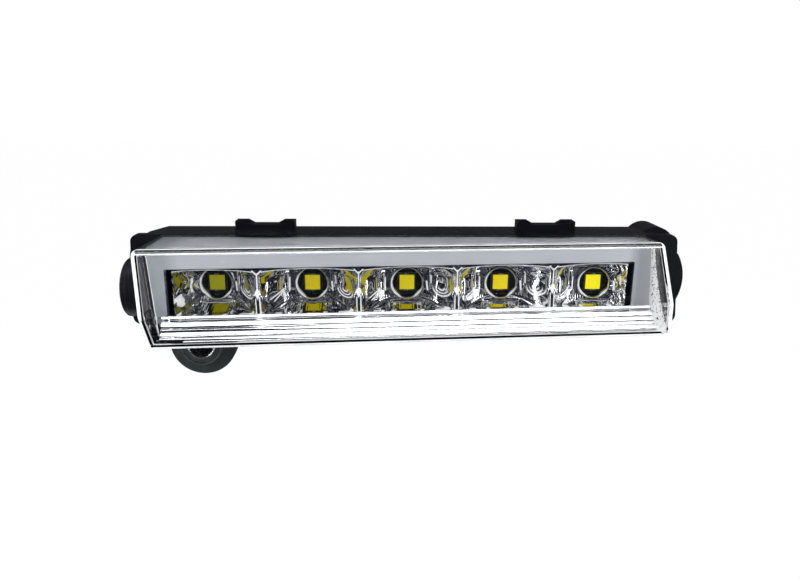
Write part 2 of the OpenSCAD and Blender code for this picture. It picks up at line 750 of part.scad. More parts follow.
// Shrouded socket with a flange on the rear wall
module connector() color([0.08, 0.08, 0.08]) {
    seat = tub_depth + plug_seal_t;
    mouth = tub_depth + plug_len;
    difference() {
        translate([plug_x, 0, plug_z]) union() {
            slab(seat, seat + plug_flange_t) rounded(plug_w + 2 * plug_flange, plug_h + 2 * plug_flange, 2.5);
            slab(seat, mouth) rounded(plug_w, plug_h, 2);
            slab(driver_y + driver_t, seat + eps) square([plug_root_w, plug_root_h], center = true);
            // latch ramp for the plug, on top of the shroud
            translate([-latch_w / 2, mouth - latch_len - 1, plug_h / 2 - eps])
                rotate([90, 0, 90]) linear_extrude(latch_w)
                    polygon([[0, 0], [latch_len, 0], [0, latch_rise]]);
        }
        translate([plug_x, 0, plug_z]) slab(seat + plug_flange_t + plug_floor, mouth + 1)
            rounded(plug_w - 2 * plug_wall, plug_h - 2 * plug_wall, 1.2);
        pin_places(pin_side, driver_y - 1, mouth + 1);
    }
}

module connector_seal() color("orangered") translate([plug_x, 0, plug_z])
    slab(tub_depth, tub_depth + plug_seal_t) difference() {
        rounded(plug_w + 2, plug_h + 2, 2);
        square([plug_root_w + 2 * slip, plug_root_h + 2 * slip], center = true);
    }

module connector_pins() color("gold") pin_places(pin_side - 2 * eps, driver_y - pin_proud, tub_depth + plug_len - pin_back);

// Vent cap with its stem in the rear wall
module breather_vent() color([0.25, 0.25, 0.25]) {
    difference() {
        rod(vent_x, 0, vent_r, tub_depth, tub_depth + vent_t);
        for (a = [0 : 60 : 300]) translate([vent_x, tub_depth + vent_t / 2, 0]) rotate([0, a, 0])
            translate([vent_r, 0, 0]) cube([2, vent_slot, vent_slot], center = true);
    }
    rod(vent_x, 0, vent_stem_r - eps, cavity_y - 0.5, tub_depth + eps);
}

// Rubber grommet: collar in front, waist in the lug and a lip behind
module lug_grommet() color([0.12, 0.15, 0.14]) difference() {
    union() {
        rod(lug_x, lug_z, collar_r, lug_y - collar_len, lug_y);
        rod(lug_x, lug_z, waist_r, lug_y - eps, lug_y + lug_t + eps);
        rod(lug_x, lug_z, collar_r, lug_y + lug_t, lug_y + lug_t + lip_t);
    }
    rod(lug_x, lug_z, sleeve_r, lug_y - collar_len - 1, lug_y + lug_t + lip_t + 1);
}

module lug_sleeve() color("silver") difference() {
    rod(lug_x, lug_z, sleeve_r, lug_y - collar_len - sleeve_proud, lug_y + lug_t + lip_t + sleeve_proud);
    rod(lug_x, lug_z, lug_bore_r, lug_y - collar_len - 1, lug_y + lug_t + lip_t + 1);
}

module upper_insert() color("goldenrod") difference() {
    rod(upper_x, upper_z, insert_r, tub_depth + upper_out - insert_len, tub_depth + upper_out);
    rod(upper_x, upper_z, insert_bore_r,
        tub_depth + upper_out - insert_len + insert_floor, tub_depth + upper_out + 1);
}

// Retaining clip over the tabs, drawn for the top: scooped front edge and notched rear edge
module clip(x, side) color([0.04, 0.04, 0.045]) mirror([0, 0, side < 0 ? 1 : 0]) translate([x, 0, 0]) {
    foot = lens_h / 2 + clip_foot;
    low = lens_h / 2 + tab_rise + slip + clip_wall;
    top = low + horn_rise;
    horn_in = clip_w / 2 - horn_w;
    notch = horn_in - horn_slope;
    y0 = -tab_t - slip / 2 - clip_wall;
    y1 = rear_tab_t + slip / 2 + clip_wall;
    scoop_r = (clip_w * clip_w / 4 + horn_rise * horn_rise) / (2 * horn_rise);
    difference() {
        slab(y0, y1) polygon([[-clip_w / 2, foot], [clip_w / 2, foot], [clip_w / 2, top],
            [horn_in, top], [notch, low], [-notch, low], [-horn_in, top], [-clip_w / 2, top]]);
        rod(0, low + scoop_r, scoop_r, y0 - 1, y0 + (y1 - y0) / 2);
        slab(y0 + clip_wall, y1 - clip_wall) translate([-tab_w / 2 - slip, foot - 1])
            square([tab_w + 2 * slip, tab_rise + slip + 1 - clip_foot]);
    }
}

lens();
lens_seal();
housing();
bezel();
reflector();
led_board();
led(1);  // led_1
led(2);  // led_2
led(3);  // led_3
led(4);  // led_4
led(5);  // led_5
phosphor(1);  // phosphor_1
phosphor(2);  // phosphor_2
phosphor(3);  // phosphor_3
phosphor(4);  // phosphor_4
phosphor(5);  // phosphor_5
heat_spreader();
spreader_screws();
reflector_screws();
heat_sink();
heat_sink_gasket();
heat_sink_screws();
driver_board();
driver_screws();
driver_coil();
driver_capacitors();
driver_chip();
connector();
connector_seal();
connector_pins();
breather_vent();
lower_lug();
lug_grommet();
lug_sleeve();
upper_boss();
upper_insert();
clip(-clip_x, 1);  // clip_top_left
clip(clip_x, 1);  // clip_top_right
clip(-clip_x, -1);  // clip_bottom_left
clip(clip_x, -1);  // clip_bottom_right
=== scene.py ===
# %% [markdown]
# # A daytime running light, dressed for a studio picture
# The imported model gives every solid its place. This lesson adds what a solid can't show: a thin
# clear lens, a mirror reflector with soft facets, a satin silver frame, and materials.
# Lengths in the making of a surface are millimetres, as on a drawing, and become metres at the end.

# %% Load the model and keep its box
import math

import bmesh
import bpy
import numpy as np
from mathutils import Matrix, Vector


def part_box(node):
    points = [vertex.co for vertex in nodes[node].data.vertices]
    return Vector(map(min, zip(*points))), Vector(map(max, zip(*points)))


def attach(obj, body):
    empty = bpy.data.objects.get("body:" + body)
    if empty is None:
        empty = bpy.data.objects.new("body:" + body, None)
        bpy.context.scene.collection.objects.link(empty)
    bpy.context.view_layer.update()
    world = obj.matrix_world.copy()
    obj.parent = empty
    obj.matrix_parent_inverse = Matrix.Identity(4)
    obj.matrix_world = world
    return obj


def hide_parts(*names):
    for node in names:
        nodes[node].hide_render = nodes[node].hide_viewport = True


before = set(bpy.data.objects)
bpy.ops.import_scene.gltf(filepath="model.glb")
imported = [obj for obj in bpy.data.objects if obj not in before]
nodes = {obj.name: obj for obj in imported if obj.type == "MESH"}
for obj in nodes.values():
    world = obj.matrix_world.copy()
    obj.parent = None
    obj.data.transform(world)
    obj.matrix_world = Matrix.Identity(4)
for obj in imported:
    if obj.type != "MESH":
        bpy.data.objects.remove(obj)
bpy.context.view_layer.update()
MM = 0.001

# %% [markdown]
# ## The camera
# A photograph fixes six things about its camera: where it stands, which way it points and how it
# is rolled. Here they were fitted to the lamp's edges: 320 mm from the flange, 15 degrees above it,
# 2 degrees to the left and rolled by half a degree. The camera could be aimed with a constraint,
# but three axes written as the columns of a matrix say the same with nothing left to solve.

# %% Camera
VIEW_W, VIEW_H = 800, 579
FOCAL_PX = 672.0
DISTANCE = 0.320
ABOVE, LEFTWARD, ROLL = (math.radians(a) for a in (15.0, 2.13, 0.48))
AXIS_PX = (406.02, 279.73)
SENSOR = 36.0

to_camera = np.array([-math.sin(LEFTWARD) * math.cos(ABOVE), -math.cos(LEFTWARD) * math.cos(ABOVE), math.sin(ABOVE)])
level_right = np.array([math.cos(LEFTWARD), -math.sin(LEFTWARD), 0.0])
level_up = np.array([math.sin(LEFTWARD) * math.sin(ABOVE), math.cos(LEFTWARD) * math.sin(ABOVE), math.cos(ABOVE)])
cam_right = math.cos(ROLL) * level_right + math.sin(ROLL) * level_up
cam_up = -math.sin(ROLL) * level_right + math.cos(ROLL) * level_up

camera_data = bpy.data.cameras.new("studio_camera")
camera_data.sensor_fit = "HORIZONTAL"
camera_data.sensor_width = SENSOR
camera_data.lens = SENSOR * FOCAL_PX / VIEW_W
camera_data.shift_x = (VIEW_W / 2 - AXIS_PX[0]) / VIEW_W
camera_data.shift_y = (AXIS_PX[1] - VIEW_H / 2) / VIEW_W
camera_data.clip_start = 0.01
camera = bpy.data.objects.new("studio_camera", camera_data)
bpy.context.scene.collection.objects.link(camera)
placed = np.eye(4)
placed[:3, 0], placed[:3, 1], placed[:3, 2], placed[:3, 3] = cam_right, cam_up, to_camera, to_camera * DISTANCE
camera.matrix_world = Matrix(placed.tolist())
bpy.context.scene.camera = camera
bpy.context.scene.view_settings.view_transform = "Standard"
print("camera at", np.round(placed[:3, 3], 4))

# %% [markdown]
# ## Small helpers for node materials
# A material is a graph. A few helpers keep the recipes short: one adds a node and sets its inputs,
# one starts a material whose surface is a Principled shader, and the rest are patterns. All
# patterns read Object coordinates, in metres, so they stay on the piece from every side.

# %% Node helpers
def add_node(tree, kind, **inputs):
    """A node of this kind, with the inputs named here set to values or linked to sockets."""
    node = tree.nodes.new(kind)
    for name, value in inputs.items():
        key = name.replace("_", " ") if name.replace("_", " ") in node.inputs else name
        if isinstance(value, bpy.types.NodeSocket):
            tree.links.new(value, node.inputs[key])
        else:
            node.inputs[key].default_value = value
    return node


def ramp(tree, fac, stops):
    """Colour ramp through (position, colour) pairs; a colour may be one grey number."""
    node = tree.nodes.new("ShaderNodeValToRGB")
    tree.links.new(fac, node.inputs["Fac"])
    band = node.color_ramp
    while len(band.elements) < len(stops):
        band.elements.new(0.5)
    for element, (place, colour) in zip(band.elements, stops):
        element.position = place
        element.color = (*([colour] * 3 if isinstance(colour, float) else colour), 1.0)
    return node.outputs["Color"]


def noise(tree, scale, detail=3.0, rough=0.5, stretch=(1, 1, 1)):
    """Noise on Object coordinates, at so many waves a metre, stretched along an axis by a factor."""
    where = tree.nodes.new("ShaderNodeTexCoord").outputs["Object"]
    if stretch != (1, 1, 1):
        where = add_node(tree, "ShaderNodeMapping", Vector=where, Scale=stretch).outputs["Vector"]
    waves = add_node(tree, "ShaderNodeTexNoise", Vector=where, Scale=scale, Detail=detail, Roughness=rough)
    return waves.outputs["Fac"]


def along(tree, axis, low, high):
    """How far along an Object axis a point lies, from 0 at low to 1 at high, in metres."""
    where = tree.nodes.new("ShaderNodeTexCoord").outputs["Object"]
    part = add_node(tree, "ShaderNodeSeparateXYZ", Vector=where).outputs[axis]
    return add_node(tree, "ShaderNodeMapRange", Value=part, From_Min=low, From_Max=high).outputs["Result"]


def math_node(tree, operation, a, b):
    """A Math node of two sockets or numbers; returns its output, held between 0 and 1."""
    node = tree.nodes.new("ShaderNodeMath")
    node.operation, node.use_clamp = operation, True
    for socket, value in zip(node.inputs, (a, b)):
        if isinstance(value, bpy.types.NodeSocket):
            tree.links.new(value, socket)
        else:
            socket.default_value = value
    return node.outputs[0]


def new_material(name, colour, roughness, **sockets):
    """A material with a Principled shader; returns the material, its tree and the shader."""
    material = bpy.data.materials.new(name)
    material.use_nodes = True
    shader = material.node_tree.nodes["Principled BSDF"]
    shader.inputs["Base Color"].default_value = (*colour, 1.0)
    shader.inputs["Roughness"].default_value = roughness
    for key, value in sockets.items():
        shader.inputs[key.replace("_", " ")].default_value = value
    return material, material.node_tree, shader


def vary(tree, shader, socket, pattern, stops):
    """Drive one socket of the shader by a pattern through a colour ramp."""
    tree.links.new(ramp(tree, pattern, stops), shader.inputs[socket])


def grain(tree, shader, height, strength=1.0):
    """Bump of a twentieth of a millimetre from a pattern, into the shader's normal."""
    bump = add_node(tree, "ShaderNodeBump", Height=height, Strength=strength)
    bump.inputs["Distance"].default_value = 0.00005
    tree.links.new(bump.outputs["Normal"], shader.inputs["Normal"])


print("helpers ready")

# %% [markdown]
# ## The studio
# Bright metal only shows what stands round it. A silver lamp photographed on white looks white
# all over unless the side of the room behind the photographer is dark, so this room is white at
# the sides, above and behind, and dark in a cone towards the front. The camera itself sees white.

# %% World and floor
DARK_AXIS = (0.0, -0.985, -0.17)
ROOM_STRENGTH, AROUND_STRENGTH = 1.7, 0.85
world = bpy.data.worlds.new("studio")
bpy.context.scene.world = world
world.use_nodes = True
tree = world.node_tree
tree.nodes.clear()
direction = tree.nodes.new("ShaderNodeTexCoord").outputs["Generated"]
towards = tree.nodes.new("ShaderNodeVectorMath")
towards.operation = "DOT_PRODUCT"
tree.links.new(direction, towards.inputs[0])
towards.inputs[1].default_value = DARK_AXIS
frontness = add_node(tree, "ShaderNodeMapRange", Value=towards.outputs["Value"], From_Min=-1.0, From_Max=1.0)
room = ramp(tree, frontness.outputs["Result"],
            [(0.0, 0.02), (0.12, 0.06), (0.3, 0.40), (0.42, 0.95), (0.63, 0.95),
             (0.70, (0.02, 0.023, 0.034)), (1.0, (0.008, 0.009, 0.015))])
rays = tree.nodes.new("ShaderNodeLightPath").outputs
after_mirror = math_node(tree, "GREATER_THAN", rays["Glossy Depth"], 0.5)
after_matt = math_node(tree, "GREATER_THAN", rays["Diffuse Depth"], 0.5)
unmirrored = math_node(tree, "SUBTRACT", rays["Is Transmission Ray"], after_mirror)
straight = math_node(tree, "SUBTRACT", unmirrored, after_matt)
seen = add_node(tree, "ShaderNodeBackground", Color=(1, 1, 1, 1), Strength=1.0)
mirrored = add_node(tree, "ShaderNodeBackground", Color=room, Strength=ROOM_STRENGTH)
around = add_node(tree, "ShaderNodeBackground", Color=(0.92, 0.94, 1.0, 1), Strength=AROUND_STRENGTH)
soft = add_node(tree, "ShaderNodeMixShader", Fac=math_node(tree, "SUBTRACT", after_mirror, rays["Is Diffuse Ray"]))
tree.links.new(around.outputs[0], soft.inputs[1])
tree.links.new(mirrored.outputs[0], soft.inputs[2])
picked = add_node(tree, "ShaderNodeMixShader", Fac=math_node(tree, "MAXIMUM", rays["Is Camera Ray"], straight))
tree.links.new(soft.outputs[0], picked.inputs[1])
tree.links.new(seen.outputs[0], picked.inputs[2])
tree.links.new(picked.outputs[0], tree.nodes.new("ShaderNodeOutputWorld").inputs["Surface"])

FLOOR_Z, FLOOR_SIDE, FLOOR_GLOW = -0.30, 6.0, 0.985
floor_mesh = bpy.data.meshes.new("floor")
floor_mesh.from_pydata([(x * FLOOR_SIDE, y * FLOOR_SIDE, FLOOR_Z) for x, y in ((-1, -1), (1, -1), (1, 1), (-1, 1))],
                       [], [(0, 1, 2, 3)])
floor = bpy.data.objects.new("floor", floor_mesh)
bpy.context.scene.collection.objects.link(floor)
floor_paint, tree, shader = new_material("floor_white", (0.85, 0.85, 0.85), 0.9)
glow = add_node(tree, "ShaderNodeEmission", Color=(1, 1, 1, 1), Strength=1.0)
rays = tree.nodes.new("ShaderNodeLightPath")
bright = add_node(tree, "ShaderNodeMixShader", Fac=FLOOR_GLOW)
tree.links.new(shader.outputs[0], bright.inputs[1])
tree.links.new(glow.outputs[0], bright.inputs[2])
shown = add_node(tree, "ShaderNodeMixShader", Fac=rays.outputs["Is Camera Ray"])
tree.links.new(shader.outputs[0], shown.inputs[1])
tree.links.new(bright.outputs[0], shown.inputs[2])
tree.links.new(shown.outputs[0], tree.nodes["Material Output"].inputs["Surface"])
floor_mesh.materials.append(floor_paint)
floor.visible_glossy = floor.visible_transmission = False


# %% Lamps
def soft_box(name, place, size, power):
    """A rectangular area lamp at a place, turned to face the origin."""
    data = bpy.data.lights.new(name, "AREA")
    data.shape = "RECTANGLE"
    data.size, data.size_y = size
    data.energy = power
    lamp = bpy.data.objects.new(name, data)
    bpy.context.scene.collection.objects.link(lamp)
    back = np.array(place, float)
    back /= np.linalg.norm(back)
    side = np.cross((0.0, 0.0, 1.0), back)
    side /= np.linalg.norm(side)
    turned = np.eye(4)
    turned[:3, 0], turned[:3, 1], turned[:3, 2], turned[:3, 3] = side, np.cross(back, side), back, place
    lamp.matrix_world = Matrix(turned.tolist())
    return lamp


soft_box("overhead", (0.05, -0.25, 0.75), (0.9, 0.5), 5.0)
soft_box("right_strip", (0.75, -0.35, 0.15), (0.12, 0.6), 3.0)
soft_box("left_strip", (-0.75, -0.3, 0.15), (0.12, 0.6), 3.0)

# %% [markdown]
# ## Surfaces from arrays
# Every new piece is a grid of points: a row for each step of one parameter, a column for each
# step of the other. The faces of such a grid are the same for any shape, so one helper makes them.
# Where a surface closes on itself, points that coincide are merged, so no seam stays open.

# %% Grid helpers
def grid_faces(rows, columns, closed=False, start=0):
    """Quads between neighbouring points of a rows x columns grid; closed joins the last column to the first."""
    index = start + np.arange(rows * columns).reshape(rows, columns)
    if closed:
        index = np.concatenate([index, index[:, :1]], axis=1)
    return np.stack([index[:-1, :-1], index[:-1, 1:], index[1:, 1:], index[1:, :-1]], axis=-1).reshape(-1, 4)


def make_piece(name, points, faces, material, slot, sharp=35.0):
    """A mesh object from points in millimetres: doubles merged, smooth except at edges sharper than an angle."""
    mesh = bpy.data.meshes.new(name)
    mesh.from_pydata((np.asarray(points, float) * MM).tolist(), [], [list(map(int, f)) for f in faces])
    shape = bmesh.new()
    shape.from_mesh(mesh)
    bmesh.ops.remove_doubles(shape, verts=shape.verts, dist=2e-6)
    shape.to_mesh(mesh)
    shape.free()
    for each in material if isinstance(material, (list, tuple)) else [material]:
        mesh.materials.append(each)
    mesh.shade_smooth()
    mesh.set_sharp_from_angle(angle=math.radians(sharp))
    piece = bpy.data.objects.new(name, mesh)
    bpy.context.scene.collection.objects.link(piece)
    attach(piece, "root")
    print(name, len(mesh.polygons), "faces")
    return piece


def box_at(low, high):
    """Eight corners and six outward faces of a box."""
    corners = np.array([[x, y, z] for x in (low[0], high[0]) for y in (low[1], high[1]) for z in (low[2], high[2])])
    return corners, np.array([(0, 1, 3, 2), (4, 6, 7, 5), (0, 4, 5, 1), (2, 3, 7, 6), (0, 2, 6, 4), (1, 5, 7, 3)])


def gather(parts):
    """One list of points and one of faces from several (points, faces) pairs."""
    points, faces, start = [], [], 0
    for part_points, part_faces in parts:
        points.append(np.asarray(part_points, float).reshape(-1, 3))
        faces += [tuple(int(i) + start for i in face) for face in part_faces]
        start += len(points[-1])
    return np.concatenate(points), faces


# %% [markdown]
# ## The form of the lens
# The lens is one clear moulding. Its foot is a rectangle with round corners. Its front is a slanted,
# swept quadrilateral with a crease across it: above the crease it leans back towards the top, and
# below it runs back again as a chin. Foot and front are the same path: four corner points, and a
# circle that rolls round them. Going from foot to front only moves the corners and shrinks the circle.

# %% Lens sizes and the rolling path
LENS_W, LENS_H, LENS_DEPTH = 232.0, 43.6, 32.0
SWEEP, RAKE = math.tan(math.radians(3.8)), math.tan(math.radians(13.3))
CREASE_Z, CHIN_IN, CREASE_SOFT = -5.9, 7.4, 0.3
LEAN, FLARE, WALL = 5.1, 1.2, 2.5
FOOT_R, EDGE_R, TONGUE_IN, TONGUE_DEPTH = 4.0, 3.0, 1.2, 1.8
CHIN_SLOPE = CHIN_IN / (LENS_H / 2 - EDGE_R + CREASE_Z)
LONG_STEPS = 60
crease_at = 0.5 + CREASE_Z / (LENS_H - 2 * EDGE_R)
near_crease = crease_at + np.linspace(-0.035, 0.035, 9)
SIDE_STEPS = np.unique(np.round(np.concatenate([np.linspace(0, 1, 15), near_crease]), 6))


def front_y(x, z, back):
    """Y of the surface that lies this far behind the front: a plane plus, below the crease, a second
    slope. The chin starts softly: slope * soft * log(1 + exp(how far below the crease / soft))."""
    below = np.clip((CREASE_Z - z) / CREASE_SOFT, -40, 400)
    chin = CHIN_SLOPE * CREASE_SOFT * np.logaddexp(0, below)
    return back - LENS_DEPTH + SWEEP * x + RAKE * z + chin


def rolling_path(corners, arc=10):
    """Points and outward normals of a path round four corners (counter-clockwise in X and Z).
    A corner's point repeats while its normal turns, so adding radius * normal rounds the corner."""
    points, normals = [], []
    long_steps = np.linspace(0, 1, LONG_STEPS + 1)[1:-1, None]
    sides = [long_steps, SIDE_STEPS[1:-1, None], long_steps, 1 - SIDE_STEPS[::-1][1:-1, None]]
    for k in range(4):
        here, nxt, prev = corners[k], corners[(k + 1) % 4], corners[k - 1]
        a0, a1 = (math.atan2(-d[0], d[1]) for d in (here - prev, nxt - here))
        turn = (a1 - a0) % (2 * math.pi)
        angles = a0 + turn * np.linspace(0, 1, arc + 1)
        points.append(np.repeat(here[None], arc + 1, 0))
        normals.append(np.stack([np.cos(angles), np.sin(angles)], 1))
        points.append(here + (nxt - here) * sides[k])
        normals.append(np.repeat(normals[-1][-1:], len(sides[k]), 0))
    return np.concatenate(points), np.concatenate(normals)


def lens_corners(inset):
    """Middles of the corner circles at the foot and at the front, for a form this far inside the lens."""
    r_foot, r_front = max(FOOT_R - inset, 1.0), max(EDGE_R - inset, 0.5)
    signs = np.array([(-1, -1), (1, -1), (1, 1), (-1, 1)], float)
    foot = signs * [LENS_W / 2 - inset - r_foot, LENS_H / 2 - inset - r_foot]
    low = (signs[:, 1] < 0).astype(float)
    front = np.stack([signs[:, 0] * (LENS_W / 2 - inset - r_front + FLARE * low) + LEAN * low,
                      signs[:, 1] * (LENS_H / 2 - inset - r_front)], 1)
    return foot, front, r_foot, r_front


def lens_rings(inset, y_foot, cuts=24, fillet=8):
    """Rings from the foot along the side and round the front edge. The edge's circle ends where it
    touches the front face, which slopes by "tilt" away from the path, and a last ring lies on it."""
    foot, front, r_foot, r_front = lens_corners(inset)
    path, normal = rolling_path(front)
    step = 0.1
    ahead = path + step * normal
    face = front_y(path[:, 0], path[:, 1], inset)
    tilt = np.clip((front_y(ahead[:, 0], ahead[:, 1], inset) - face) / step, 0, None)
    length = np.sqrt(1 + tilt ** 2)
    centre_y = face + r_front * length
    rings = []
    for s in np.linspace(0, 1, cuts):
        foot_path, foot_normal = rolling_path(foot + (front - foot) * s)
        outline = foot_path + (r_foot + (r_front - r_foot) * s) * foot_normal
        rings.append(np.stack([outline[:, 0], y_foot + (centre_y - y_foot) * s, outline[:, 1]], 1))
    for part in np.linspace(0, 1, fillet + 1)[1:]:
        phi = part * (math.pi / 2 - np.arctan(tilt))
        outline = path + (r_front * np.cos(phi))[:, None] * normal
        rings.append(np.stack([outline[:, 0], centre_y - r_front * np.sin(phi), outline[:, 1]], 1))
    rings.append(np.stack([path[:, 0], face, path[:, 1]], 1))
    return np.array(rings)


def lens_face(inset):
    """The front face inside the rings: points between the left and right sides, row by row upwards."""
    _, front, _, _ = lens_corners(inset)
    rise = SIDE_STEPS[:, None]
    left = front[0] + (front[3] - front[0]) * rise
    right = front[1] + (front[2] - front[1]) * rise
    across = np.linspace(0, 1, LONG_STEPS + 1)[None, :, None]
    plan = left[:, None] + (right - left)[:, None] * across
    return np.stack([plan[..., 0], front_y(plan[..., 0], plan[..., 1], inset), plan[..., 1]], -1)


print("side steps:", len(SIDE_STEPS), "chin slope:", round(CHIN_SLOPE, 3))

# %% [markdown]
# ## Clear plastic
# The lens is polycarbonate, which bends light a little more than window glass. Its faces are plain
# glass. The lines along the front edges are a whiter, less clear glass: painted highlights. The right
# wall is frosted on its inside in a speckled wedge, and its flecks glow: a painted highlight.

# %% Lens material
lens_clear, tree, shader = new_material("lens_clear", (1.0, 1.0, 1.0), 0.0, IOR=1.52, Transmission_Weight=1.0)
# The edge lines are a whiter, less clear glass: a painted highlight.
lens_painted_edge_lines, tree, shader = new_material("lens_painted_edge_lines", (1.0, 1.0, 1.0), 0.08, IOR=1.52)
vary(tree, shader, "Transmission Weight", noise(tree, 60.0, 2.0), [(0.35, 0.1), (0.7, 0.35)])
lens_frost_and_glow, tree, shader = new_material("lens_frost_and_glow", (1.0, 1.0, 1.0), 0.1, IOR=1.52)
frosted = tree.nodes.new("ShaderNodeAttribute")
frosted.attribute_name = "frost_and_glow"
flecks = ramp(tree, noise(tree, 1300.0, 3.0), [(0.38, 0.2), (0.56, 1.0)])
speckle = math_node(tree, "MULTIPLY", frosted.outputs["Fac"], flecks)
vary(tree, shader, "Transmission Weight", speckle, [(0.4, 1.0), (0.5, 0.0)])
# The flecks also glow: a painted highlight on the frosted wall.
vary(tree, shader, "Emission Color", speckle, [(0.4, 0.0), (0.5, 1.0)])
shader.inputs["Emission Strength"].default_value = 0.45
print("lens IOR:", shader.inputs["IOR"].default_value)

# %% [markdown]
# ## The lens
# Two shells of the same form, the inner one a wall's thickness inside, are joined round the foot.
# The foot carries a tongue that sits in the housing's glue groove, and four tabs for the clips.
# Boolean cuts could hollow it, but rings keep an even mesh, which clear plastic needs.

# %% Build the lens
outer, inner = lens_rings(0.0, 0.0), lens_rings(WALL, 0.0)
tongue_out = lens_rings(TONGUE_IN, 0.0)[0]
tongue = [tongue_out, tongue_out + [0, TONGUE_DEPTH, 0], inner[0] + [0, TONGUE_DEPTH, 0]]
shell = np.concatenate([outer[::-1], tongue, inner])
face_rows, face_columns = len(SIDE_STEPS), LONG_STEPS + 1
parts = [(shell, grid_faces(len(shell), shell.shape[1], closed=True)[:, ::-1]),
         (lens_face(0.0), grid_faces(face_rows, face_columns)),
         (lens_face(WALL), grid_faces(face_rows, face_columns)[:, ::-1])]
CLIP_X, TAB_W, TAB_RISE, TAB_T, TAB_GAP = 65.0, 24.0, 4.0, 2.0, 0.02
for x in (-CLIP_X, CLIP_X):
    for side in (-1, 1):
        edges = sorted((side * (LENS_H / 2 + TAB_GAP), side * (LENS_H / 2 + TAB_RISE)))
        parts.append(box_at((x - TAB_W / 2, -TAB_T, edges[0]), (x + TAB_W / 2, -TAB_GAP, edges[1])))
lens_piece = make_piece("lens_shell", *gather(parts), [lens_clear, lens_painted_edge_lines, lens_frost_and_glow], "clear_lens", sharp=50)


def edge_faces(mesh):
    """0 for clear faces, 1 for the painted highlight lines along the rounded front edge, 2 for the inside of
    the right wall. The lines are picked by how far their normals have turned from the sides to the front."""
    normals, middles = np.empty(3 * len(mesh.polygons)), np.empty(3 * len(mesh.polygons))
    mesh.polygons.foreach_get("normal", normals)
    mesh.polygons.foreach_get("center", middles)
    normals, middles = normals.reshape(-1, 3), middles.reshape(-1, 3) / MM
    x, y, z = normals.T
    near = middles[:, 1] < front_y(middles[:, 0], middles[:, 2], 0.0) + 3.6
    outward = x * middles[:, 0] > 0
    ends = (np.abs(x) > 0.25) & (y < -0.2) & (y > -0.96) & near & outward
    inner_line = (np.abs(x) > 0.25) & (np.abs(x) < 0.93) & (y > 0.2) & near & ~outward
    top_lines = (z > 0.25) & (np.abs(x) < 0.4) & (((y < -0.03) & (y > -0.3)) | ((y < -0.8) & (y > -0.93))) & near
    low_line = (z < -0.3) & (np.abs(x) < 0.4) & (y < -0.35) & (y > -0.85) & near
    kind = (ends | inner_line | top_lines | low_line).astype(np.int32)
    kind[~outward & (np.abs(x) > 0.9) & (middles[:, 0] > 105)] = 2
    return kind


def frost_and_glow(place):
    """How much a point of the right wall is frosted and glows, a painted highlight: 1 deep inside, 0 in
    front. The wedge reaches further forward towards the lower edge: by 2.5 mm at the top and 10 mm at the bottom."""
    deep = place[:, 1] + LENS_DEPTH - SWEEP * place[:, 0]
    reach = np.interp(place[:, 2], [-15, 12], [10, 2.5])
    return np.clip((deep - 14.8 + reach) / 1.2, 0, 1) * np.clip((18.5 - deep) / 2.5, 0, 1)


on_edge = edge_faces(lens_piece.data)
lens_piece.data.polygons.foreach_set("material_index", on_edge)
place = np.empty(3 * len(lens_piece.data.vertices))
lens_piece.data.vertices.foreach_get("co", place)
frosting = frost_and_glow(place.reshape(-1, 3) / MM).astype(np.float32)
lens_piece.data.attributes.new("frost_and_glow", "FLOAT", "POINT").data.foreach_set("value", frosting)
print("edge and wall faces:", [int((on_edge == kind).sum()) for kind in (1, 2)])
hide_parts("lens")

# %% [markdown]
# ## Satin silver
# The frame inside the lens is metallised plastic with a satin shine; its colour is painted darker at both ends, a
# painted shade.
# The skirt's end walls and the lower left corner lie deep behind the lens and get a darker copy of the silver, a
# painted shade, with a fine grain.
# The ledge below the window has the same coat on a polished mould, so it shines more.

# %% Silver materials
silver, tree, shader = new_material("silver_satin", (0.80, 0.83, 0.88), 0.35, Metallic=0.2)
# The colour is painted darker towards both ends: a painted shade.
coat_and_end_shade = ramp(tree, along(tree, "X", -0.116, 0.116),
            [(0.0, (0.52, 0.58, 0.62)), (0.045, (0.60, 0.65, 0.68)), (0.075, (0.93, 0.95, 1.0)),
             (0.94, (0.93, 0.95, 1.0)), (0.965, (0.50, 0.53, 0.56)), (1.0, (0.50, 0.53, 0.56))])
tree.links.new(coat_and_end_shade, shader.inputs["Base Color"])
# A darker copy of the silver for the end walls and the lower left corner: a painted shade.
skirt_painted_shade, tree, shader = new_material("skirt_painted_shade", (0.055, 0.062, 0.078), 0.3, Metallic=0.2)
vary(tree, shader, "Base Color", noise(tree, 240.0, 3.0),
     [(0.3, (0.045, 0.052, 0.068)), (0.7, (0.07, 0.078, 0.095))])
vary(tree, shader, "Roughness", noise(tree, 900.0, 4.0), [(0.3, 0.32), (0.7, 0.40)])
grain(tree, shader, noise(tree, 2500.0, 2.0), 0.06)

bright_silver, tree, shader = new_material("silver_polished", (0.93, 0.93, 0.95), 0.12, Metallic=1.0)
vary(tree, shader, "Roughness", noise(tree, 500.0, 3.0), [(0.3, 0.08), (0.7, 0.16)])
print("silver materials ready")

# %% [markdown]
# ## The frame with its window
# The frame follows the lens's inner wall, turns over at its front edge and closes in to the
# window. All of it is one band of rings again: the skirt, a small round, the face, and the
# return into the window. The window's path has the same number of points as the skirt's.

# %% Build the frame
BEZEL_BACK, BEZEL_T, BEZEL_IN, BEZEL_ROUND = 14.8, 1.6, 3.1, 0.8
FRAME_WALL = 0.0008
WINDOW_W, WINDOW_H, WINDOW_Z = 210.0, 22.6, -0.3


def plane_y(x, back):
    """Y of the plane that is swept like the lens but upright, this far behind the lens's middle."""
    return back - LENS_DEPTH + SWEEP * x


